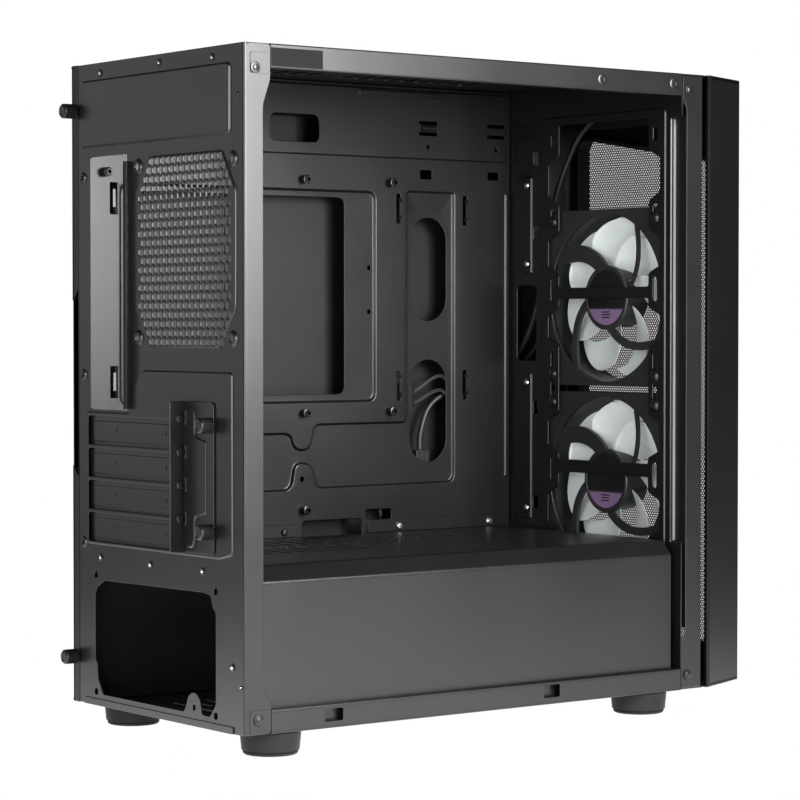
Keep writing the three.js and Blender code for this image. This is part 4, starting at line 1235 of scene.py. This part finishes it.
# %% The fan screws
def fan_screw(node):
    (x0, x1), (y0, y1), (z0, z1) = span(node)
    x, z, radius = (x0 + x1) / 2, (z0 + z1) / 2, (z1 - z0) / 2
    head = [(0, y1 - 2.4), (radius, y1 - 2.4), (radius, y1 - 1.4), (radius * 0.8, y1 - 0.5),
        (radius * 0.45, y1)]
    parts = [turned(head + [(0, y1 - 0.5)], (x, 0, z), 1, 24)]
    parts.append(turned([(0, y0), (1.6, y0), (1.9, y0 + 0.6), (1.9, y1 - 2.3), (0, y1 - 2.3)], (x, 0, z),
        1, 16))
    face = pressed_sheet(circle(x, z, radius * 0.5, 20), [], [(plus_mark(x, z, 1.2, 0.35), -0.6, 0.2)],
        0.2, 0.05)
    parts.append(sheet_on(face, lambda a, b, h: (a, y1 - 0.12 + h, b)))
    piece(node + "_head", parts, [screw_black], "chassis", node)


for level in ("upper", "lower"):
    for index in range(4):
        fan_screw(f"fan_screw_{level}_{index + 1}")
print("fan screws made")

# %% [markdown]
# ## Front bezel and its mesh
#
# The bezel is a moulded plastic shell with slanted cheeks. Its intake window slopes up at the top and
# is filled with fine perforated steel. Thousands of round holes would be heavy and would shimmer, so
# the mesh is two layers of thin crossing strips, which leave the same staggered openings.

# %% The bezel
plastic = finish("front_plastic", (0.003, 0.003, 0.0031), 0.4, grain=0.35, bump=0.3)
tuned(plastic, Specular_IOR_Level=0.25)
(bx0, bx1), (by0, by1), (bz0, bz1) = span("front_bezel")
bevel, wall = 18.0, 2.5
shell = [(bx0, by1), (bx0, by1 - 2.6), (bx0 + bevel, by0), (bx1 - bevel, by0), (bx1, by1 - 2.6), (bx1, by1)]
window = smoothed([(27, 24), (171, 24), (171, 368), (164.5, 373), (33.5, 351.4), (27, 345)], 4.5)
front_face = pressed_sheet(
    rounded(bx0 + bevel + 1.6, bx1 - bevel - 1.6, bz0 + 1.8, bz1 - 1.8, 0.6, 2), [window],
    [(grown(window, 5), -1.2, 1.6)], wall, 0.5
)


def open_bar(path, thickness, radius, low, high):
    return bar(folded(path, thickness, radius), 2, low, high)


bezel_parts = [
    sheet_on(front_face, lambda a, b, h: (a, by0 - h, b)),
    open_bar([shell[0], shell[1], shell[2], (shell[2][0] + 3.2, by0)], wall - 0.2, 2.4, bz0 + 0.9,
        bz1 - 0.9),
    open_bar([shell[5], shell[4], shell[3], (shell[3][0] - 3.2, by0)], -wall + 0.2, 2.4, bz0 + 0.9,
        bz1 - 0.9),
]
PORT_Y = middle("io_module")[1]
port_holes = [circle(middle("power_button")[0], PORT_Y, 7.3, 40),
    circle(middle("reset_button")[0], PORT_Y, 3.3, 24)]
port_holes += [circle(middle("audio_jack")[0], PORT_Y, 4.3, 28)]
for index in (1, 2):
    x = middle(f"usb_port_{index}")[0]
    port_holes.append(rounded(x - 7.1, x + 7.1, PORT_Y - 3.4, PORT_Y + 3.4, 0.8))
cap_outline = smoothed(shell, 1.4)
for height, direction, holes in ((bz1, 1, port_holes), (bz0, -1, [])):
    cap = pressed_sheet(cap_outline, holes, [], wall, 0.7)
    bezel_parts.append(sheet_on(cap, lambda a, b, h, z=height, d=direction: (a, b, z + d * h)))
for z, d in ((bz1, -1), (bz0, 1)):
    section = [(by0 + 0.6, z), (by0, z + d * 0.6), (by0, z + d * 3), (by0 + 2.2, z + d * 3), (by0 + 2.2, z)]
    bezel_parts.append(bar(section, 0, bx0 + bevel + 0.6, bx1 - bevel - 0.6))
tunnel = grown(window, 0.2)
count = len(tunnel)
outer = grown(window, wall)
tunnel_points = np.array(
    [(a, by0 + 1.0, b) for a, b in tunnel]
    + [(a, -402.4, b) for a, b in tunnel]
    + [(a, -402.4, b) for a, b in outer]
    + [(a, by0 + 1.0, b) for a, b in outer]
)
tunnel_faces = [
    (k * count + i, k * count + (i + 1) % count, ((k + 1) % 4) * count + (i + 1) % count,
        ((k + 1) % 4) * count + i)
    for k in range(4)
    for i in range(count)
]
bezel_parts.append((tunnel_points, tunnel_faces))
piece("front_bezel_moulded", bezel_parts, [plastic], "bezel", "front_bezel")
print("bezel made")

# %% [markdown]
# ## Fine mesh
#
# The bezel's mesh is drawn as two crossing layers of flat strands on a border band, cut to the
# window's outline. That gives real open holes at a small part of the cost of a punched sheet.

# %% The fine mesh
mesh_black = finish("mesh_paint", (0.012, 0.012, 0.012), 0.45, metal=0.2, grain=0.3, bump=0.1)
_, (my0, _), _ = span("front_mesh")
mesh_outline = grown(window, 1.6)
frame_band = pressed_sheet(mesh_outline, [grown(window, -0.8)], [], 0.9, 0.1)
mesh_parts = [sheet_on(frame_band, lambda a, b, h: (a, my0 + 0.95 + h * 0.9, b))]


def chords(outline, angle, spacing):
    """The pieces of parallel lines that lie inside an outline."""
    direction = np.array([math.cos(angle), math.sin(angle)])
    normal = np.array([-direction[1], direction[0]])
    offsets = outline @ normal
    result = []
    starts, ends = outline, np.roll(outline, -1, 0)
    for offset in np.arange(offsets.min() + spacing / 2, offsets.max(), spacing):
        d0, d1 = starts @ normal - offset, ends @ normal - offset
        cut = np.nonzero((d0 > 0) != (d1 > 0))[0]
        places = starts[cut] + (ends[cut] - starts[cut]) * (d0[cut] / (d0[cut] - d1[cut]))[:, None]
        along = np.sort(places @ direction)
        for low, high in zip(along[::2], along[1::2]):
            result.append((normal * offset + direction * low, normal * offset + direction * high, normal))
    return result


strands = 0
for layer, angle in enumerate((math.radians(60), math.radians(120))):
    near, far = my0 + 0.3 + 0.12 * layer, my0 + 0.41 + 0.12 * layer
    for start, end, normal in chords(grown(window, 0.6), angle, 1.65):
        side = normal * 0.37
        outline = [start - side, end - side, end + side, start + side]
        mesh_parts.append(bar(outline, 1, near, far))
        strands += 1
piece("front_mesh_fine", mesh_parts, [mesh_black], "bezel", "front_mesh")
print("mesh strips:", strands)

# %% [markdown]
# ## Ports and buttons
#
# They sit on a small board under the bezel's top wall. The round power button has a shallow dish
# and the reset button is smaller and flat. Each has a flange below the wall, which keeps it from
# coming out. The two data sockets are drawn steel shells with a plastic tongue inside.

# %% Ports and buttons
port_steel = finish("port_shell", (0.5, 0.5, 0.51), 0.3, metal=1.0, grain=0.3, bump=0.1)
tongue_black = finish("tongue_plastic", (0.01, 0.01, 0.011), 0.35, grain=0.3, bump=0.1)
(ix0, ix1), (iy0, iy1), (iz0, iz1) = span("io_module")
board = pressed_sheet(rounded(ix0, ix1, iy0, iy1, 1.2), [], [], 1.6, 0.2)
module_parts = [sheet_on(board, lambda a, b, h: (a, b, iz1 - 1.0 + h))]
module_parts.append(box_part((ix0 + 1, ix1 - 1), (iy0 + 1, iy1 - 1), (iz0, iz1 - 2.8)))
for x in np.linspace(ix0 + 6, ix1 - 6, 6):
    module_parts.append(box_part((x - 1.6, x + 1.6), (iy0 + 1.6, iy0 + 4), (iz1 - 2.9, iz1 - 2.62)))
piece("io_module_board", module_parts, [tongue_black], "bezel", "io_module", edge=0.15)
FLANGE_PROUD = 1.6
WALL_AND_GAP = 2.8
for node, body, dish in (("power_button", "power_button", 0.7), ("reset_button", "reset_button", -0.25)):
    (x0, x1), (y0, y1), (z0, z1) = span(node)
    flange = (x1 - x0) / 2
    radius = flange - FLANGE_PROUD
    under = HEIGHT - WALL_AND_GAP
    cap = [(0, z0), (radius, z0), (radius, under - 2.2), (flange, under - 1.4), (flange, under)]
    cap += [(radius, under), (radius, z1 - 0.5), (radius - 0.45, z1), (radius * 0.82, z1)]
    cap += [(radius * 0.6, z1 - dish * 0.6), (0, z1 - dish)]
    if dish < 0:
        cap = [(r, min(z, z1)) for r, z in cap]
    parts = [turned(cap, ((x0 + x1) / 2, (y0 + y1) / 2, 0), 2, 48)]
    piece(node + "_cap", parts, [plastic], body, node)
for index in (1, 2):
    node = f"usb_port_{index}"
    (x0, x1), (y0, y1), (z0, z1) = span(node)
    mouth = rounded(x0 + 0.45, x1 - 0.45, y0 + 0.45, y1 - 0.45, 0.5)
    shell_rim = pressed_sheet(rounded(x0, x1, y0, y1, 0.8), [mouth], [], 0.4, 0.12)
    parts = [sheet_on(shell_rim, lambda a, b, h: (a, b, z1 + h))]
    for low, high in ((y0, y0 + 0.4), (y1 - 0.4, y1)):
        parts.append(box_part((x0 + 0.4, x1 - 0.4), (low + 0.02, high - 0.02), (z0 + 0.1, z1 - 0.42)))
    for low, high in ((x0, x0 + 0.4), (x1 - 0.4, x1)):
        parts.append(box_part((low + 0.02, high - 0.02), (y0 + 0.42, y1 - 0.42), (z0 + 0.1, z1 - 0.42)))
    parts.append(box_part((x0 + 0.5, x1 - 0.5), (y0 + 0.5, y1 - 0.5), (z0 + 0.2, z0 + 0.9)) + (1,))
    middle_x = (x0 + x1) / 2
    parts.append(box_part((middle_x - 5, middle_x + 5), (y0 + 1.2, y0 + 3.0), (z0 + 0.9, z1 - 1.2)) + (1,))
    piece(node + "_shell", parts, [port_steel, tongue_black], "bezel", node)
(x0, x1), (y0, y1), (z0, z1) = span("audio_jack")
radius = (x1 - x0) / 2
collar = [(1.8, z0), (radius, z0), (radius, z1 - 0.4), (radius - 0.4, z1), (2.3, z1), (1.8, z1 - 0.5)]
parts = [ring_part(collar, ((x0 + x1) / 2, (y0 + y1) / 2, 0), 2, 40)]
parts.append((*turned([(0, z0), (1.75, z0), (1.75, z0 + 0.8), (0, z0 + 0.8)],
    ((x0 + x1) / 2, (y0 + y1) / 2, 0), 2, 24), 1))
piece("audio_jack_collar", parts, [port_steel, tongue_black], "bezel", "audio_jack")
print("ports and buttons made")

# %% [markdown]
# ## Feet
#
# Round moulded feet with a soft pad below. The pad is set off by a small step in the one turned profile, so
# the foot shows a dark line near the floor.

# %% Feet
rubber = finish("foot_rubber", (0.006, 0.006, 0.0062), 0.6, grain=0.4, bump=0.3)
tuned(rubber, Specular_IOR_Level=0.25)
for end in ("rear_left", "rear_right", "front_left", "front_right"):
    node = f"foot_{end}"
    (x0, x1), (y0, y1), (z0, z1) = span(node)
    radius = (x1 - x0) / 2
    side = [(0, z0 + 0.6), (radius - 5.5, z0 + 0.6), (radius - 4.8, z0), (radius - 2.8, z0),
        (radius - 2.1, z0 + 0.5)]
    side += [(radius - 1.9, z0 + 1.5), (radius - 2.3, z0 + 1.8), (radius - 2.3, z0 + 2.2),
        (radius - 1.1, z0 + 2.6)]
    side += [(radius - 0.1, z1 - 1.2), (radius - 0.1, z1 - 0.5), (radius - 0.6, z1), (0, z1)]
    piece(node + "_moulded", [turned(side, ((x0 + x1) / 2, (y0 + y1) / 2, 0), 2, 72)], [rubber],
        "chassis", node)
print("feet made")

# %% [markdown]
# ## Dust filters
#
# Both filters are a thin moulded frame round a fine woven cloth. The cloth is drawn as two layers of
# crossing strands, like the front mesh.


# %% Dust filters
def dust_filter(node, body, spacing, ribs):
    (x0, x1), (y0, y1), (z0, z1) = span(node)
    border = rounded(x0, x1, y0, y1, 4)
    cells = []
    step = (y1 - y0 - 7) / ribs
    for row in range(ribs):
        low = y0 + 5 + row * step
        cells.append(rounded(x0 + 5, x1 - 5, low, low + step - 3, 2.2))
    rim_sheet = pressed_sheet(border, cells, [], z1 - z0, 0.2)
    parts = [sheet_on(rim_sheet, lambda a, b, h: (a, b, z1 + h))]
    middle_z = (z0 + z1) / 2
    cloth = rounded(x0 + 4.5, x1 - 4.5, y0 + 4.5, y1 - 4.5, 2)
    for layer, angle in enumerate((math.radians(45), math.radians(135))):
        low = middle_z - 0.24 + layer * 0.24
        for start, end, normal in chords(cloth, angle, spacing):
            side = normal * 0.3
            parts.append(bar([start - side, end - side, end + side, start + side], 2, low,
                low + 0.22) + (1,))
    piece(node + "_woven", parts, [plastic, mesh_black], body, node)
    print(node, "parts", len(parts))


dust_filter("psu_dust_filter", "psu_filter", 2.2, 3)
dust_filter("top_dust_filter", "top_filter", 2.2, 4)

# %% [markdown]
# ## Drive cage
#
# Under the shroud a folded cage holds two drives on rails pressed in from its sides.

# %% Drive cage
(cx0, cx1), (cy0, cy1), (cz0, cz1) = span("drive_cage")
cage_top = pressed_sheet(
    rounded(cx0 + 1.0, cx1 - 1.0, cy0, cy1, 0.5, 1),
    [rounded(cx0 + 14, cx1 - 14, y - 5, y + 5, 3) for y in np.arange(cy0 + 16, cy1 - 12, 22)],
    [],
    0.9,
)
wall_holes = [rounded(y - 6, y + 6, 14, 22, 2) for y in np.arange(cy0 + 14, cy1 - 10, 24)]
wall_holes += [rounded(y - 6, y + 6, 52, 60, 2) for y in np.arange(cy0 + 14, cy1 - 10, 24)]
cage_wall = pressed_sheet(rounded(cy0, cy1, cz0, cz1 - 1.0, 0.5, 1), wall_holes, [], 0.9)
cage_parts = [
    sheet_on(cage_top, lambda a, b, h: (a, b, cz1 + h)),
    sheet_on(cage_wall, lambda a, b, h: (cx0 - h, a, b)),
    sheet_on(cage_wall, lambda a, b, h: (cx1 + h, a, b)),
    bar(folded([(cx0, cz1 - 1.0), (cx0, cz1), (cx0 + 1.0, cz1)], -0.9, 0.9), 1, cy0, cy1),
    bar(folded([(cx1 - 1.0, cz1), (cx1, cz1), (cx1, cz1 - 1.0)], -0.9, 0.9), 1, cy0, cy1),
]
for z in (27.0, 46.0):
    for path in ([(cx0 + 0.95, z), (cx0 + 7.5, z), (cx0 + 7.5, z + 2.4)],
        [(cx1 - 0.95, z), (cx1 - 7.5, z), (cx1 - 7.5, z + 2.4)]):
        cage_parts.append(bar(folded(path, 0.8 if path[0][0] < path[1][0] else -0.8, 0.8), 1, cy0 + 1,
            cy1 - 1))
piece("drive_cage_folded", cage_parts, [coat_black], "chassis", "drive_cage")
print("drive cage made")

# %% [markdown]
# ## Leads and plugs
#
# The fans' leads and the front ports' lead run behind the tray. They are soft in life; here they
# keep the path they are tied in, because a tied lead does not move. Each is drawn as a smooth round
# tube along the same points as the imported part.

# %% Leads and plugs
sheath = finish("lead_sheath", (0.006, 0.006, 0.0062), 0.55, grain=0.6, bump=0.2)
TRAY_BACK = TRAY_X + 3.2
front_lead = [
    (125, -381.6, 384), (125, -377, 384), (142, -373, 366), (158, -366, 320), (160, -358, 268),
    (171, -356, 236),
    (183, -353.5, 218), (186, -345, 208), (186.4, -325, 203), (186.4, -300, 196), (186.4, -279, 184),
    (186.4, -271, 166), (186.4, -270, 154),
]
piece(
    "front_panel_lead_run", [tube(curve_through(front_lead, 6), 1.9, 14)], [sheath], "chassis",
    "front_panel_lead",
)
lead_start = span("fan_frame_upper")[0][1] + 1.2
for level, z, side in (("upper", 236, 1), ("lower", 150, -1)):
    run = [
        (lead_start, plate_y - 4.6, z), (146, -350.5, z + side * 2), (163, -351.5, 212 + side * 9),
        (182.2, -350, 202 + side * 6), (182.4, -338, 200 + side * 6), (182.4, -300, 184 + side * 5),
        (182.4, -286, 200 + side * 5), (182.4, -262, 190 + side * 4),
    ]
    strands = [tube(curve_through(np.array(run) + np.array([0, 0, offset]), 6), 0.62, 8)
        for offset in (-0.7, 0.62)]
    piece(f"fan_lead_{level}_run", strands, [sheath], "chassis", f"fan_lead_{level}")
for node, slot, rows in (("front_panel_plug", "plug_plastic", 3), ("fan_plug", "plug_plastic", 2)):
    (x0, x1), (y0, y1), (z0, z1) = span(node)
    x0 = max(x0, TRAY_BACK)
    body_parts = [box_part((x0 + 0.3, x1 - 0.3), (y0 + 0.3, y1 - 0.3), (z0, z1))]
    for row in range(rows):
        y = y0 + (row + 0.5) * (y1 - y0) / rows
        body_parts.append(box_part((x0, x0 + 0.4), (y - 1.1, y + 1.1), (z0 + 2, z1 - 3)))
    piece(node + "_housing", body_parts, [tongue_black], "chassis", node, edge=0.25)
print("leads made")

# %% [markdown]
# ## What is left
#
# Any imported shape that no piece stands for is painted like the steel. The list should come out empty.

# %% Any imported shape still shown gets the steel's paint
left = [name for name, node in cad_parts.items() if not node.hide_render]
for name in left:
    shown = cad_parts[name]
    shown.data.materials.clear()
    shown.data.materials.append(coat_black)
print("packed shapes still shown:", left)

# %% [markdown]
# ## Studio
#
# The case stands on a plain floor before a plain backdrop, and both look white. They are white only
# to the eye: to the object they send back little light, because a bright floor would wash out black
# paint. A soft glow on the floor near the case lifts its lower parts. Four soft boxes light it: a
# strong one beside the open side, one at the rear left, and two dim ones at the right.
#
# The finishes were set under this light and with the tone setting below. Under another light the
# paint will look darker than real powder coat, because its colour value is lower than a real one's.

# %% The floor
floor_mesh = bpy.data.meshes.new("floor")
reach = 30
POOL_CENTRE = (-0.3, 0.3, 0)
POOL_INNER, POOL_OUTER, POOL_GLOW = 0.35, 1.0, 2.3
floor_mesh.from_pydata([(-reach, -reach, 0), (reach, -reach, 0), (reach, reach, 0), (-reach, reach, 0)],
    [], [(0, 1, 2, 3)])
floor = bpy.data.objects.new("floor", floor_mesh)
bpy.context.scene.collection.objects.link(floor)
floor_paint = bpy.data.materials.new("white_floor")
floor_paint.use_nodes = True
tree = floor_paint.node_tree
glow = tree.nodes.new("ShaderNodeEmission")
glow.inputs["Strength"].default_value = 1.0
matt = tree.nodes["Principled BSDF"]
matt.inputs["Base Color"].default_value = (0.5, 0.5, 0.5, 1)
matt.inputs["Roughness"].default_value = 1.0
matt.inputs["Specular IOR Level"].default_value = 0.0
path = tree.nodes.new("ShaderNodeLightPath")
mix = tree.nodes.new("ShaderNodeMixShader")
tree.links.new(path.outputs["Is Camera Ray"], mix.inputs["Fac"])
place = tree.nodes.new("ShaderNodeTexCoord")
away = tree.nodes.new("ShaderNodeVectorMath")
away.operation = "LENGTH"
fade = tree.nodes.new("ShaderNodeMapRange")
fade.inputs["From Min"].default_value = POOL_INNER
fade.inputs["From Max"].default_value = POOL_OUTER
fade.inputs["To Min"].default_value = POOL_GLOW
fade.inputs["To Max"].default_value = 0.0
shift = tree.nodes.new("ShaderNodeVectorMath")
shift.operation = "SUBTRACT"
shift.inputs[1].default_value = POOL_CENTRE
tree.links.new(place.outputs["Object"], shift.inputs[0])
tree.links.new(shift.outputs["Vector"], away.inputs[0])
tree.links.new(away.outputs["Value"], fade.inputs["Value"])
tree.links.new(fade.outputs["Result"], matt.inputs["Emission Strength"])
matt.inputs["Emission Color"].default_value = (1, 1, 1, 1)
tree.links.new(matt.outputs["BSDF"], mix.inputs[1])
tree.links.new(glow.outputs["Emission"], mix.inputs[2])
tree.links.new(mix.outputs["Shader"], tree.nodes["Material Output"].inputs["Surface"])
floor_mesh.materials.append(floor_paint)

# %% [markdown]
# ## Backdrop and lights
#
# The backdrop follows the floor's rule: white to the eye and dim to the object.

# %% The backdrop and lights
scene = bpy.context.scene
scene.world = bpy.data.worlds.new("studio")
scene.world.use_nodes = True
world = scene.world.node_tree
backdrop = world.nodes["Background"]
backdrop.inputs["Color"].default_value = (1, 1, 1, 1)
backdrop.inputs["Strength"].default_value = 0.15
bright = world.nodes.new("ShaderNodeBackground")
bright.inputs["Color"].default_value = (1, 1, 1, 1)
bright.inputs["Strength"].default_value = 1.0
seen = world.nodes.new("ShaderNodeLightPath")
choose = world.nodes.new("ShaderNodeMixShader")
world.links.new(seen.outputs["Is Camera Ray"], choose.inputs["Fac"])
world.links.new(backdrop.outputs["Background"], choose.inputs[1])
world.links.new(bright.outputs["Background"], choose.inputs[2])
world.links.new(choose.outputs["Shader"], world.nodes["World Output"].inputs["Surface"])


def soft_box(name, place, target, size, power):
    light = bpy.data.lights.new(name, "AREA")
    light.shape = "RECTANGLE"
    light.size, light.size_y = size
    light.energy = power
    made = bpy.data.objects.new(name, light)
    made.location = place
    made.rotation_euler = (Vector(target) - Vector(place)).to_track_quat("-Z", "Y").to_euler()
    made.visible_camera = False
    scene.collection.objects.link(made)
    return made


soft_box("open_side_box", (-1.0, -0.09, 0.64), (0.0, 0.07, 0.5), (0.6, 0.84), 50)
soft_box("rear_left_box", (-0.8, 1.2, 0.42), (0.0, 0.15, 0.25), (0.9, 0.7), 24)
soft_box("right_rear_box", (1.5, 1.3, 0.5), (0.0, 0.1, 0.25), (1.1, 1.0), 4)
soft_box("front_right_box", (1.4, -1.3, 0.9), (0.0, -0.1, 0.2), (1.0, 1.0), 8)

# %% [markdown]
# ## Camera
#
# The view is from the left rear, a little above the middle of the case, with a long lens so that the
# uprights stay nearly parallel.

# %% The camera
camera_data = bpy.data.cameras.new("view")
camera_data.lens = 124.24
camera_data.sensor_width = 36
camera = bpy.data.objects.new("view", camera_data)
camera.location = (-1.43586, 1.09218, 0.25627)
camera.rotation_mode = "QUATERNION"
forward = Vector((0.79926, -0.60036, -0.02793))
camera.rotation_quaternion = forward.to_track_quat("-Z", "Y")
camera_data.clip_start, camera_data.clip_end = 0.05, 60
scene.collection.objects.link(camera)
scene.camera = camera
scene.view_settings.view_transform = "Standard"
scene.view_settings.gamma = 0.85
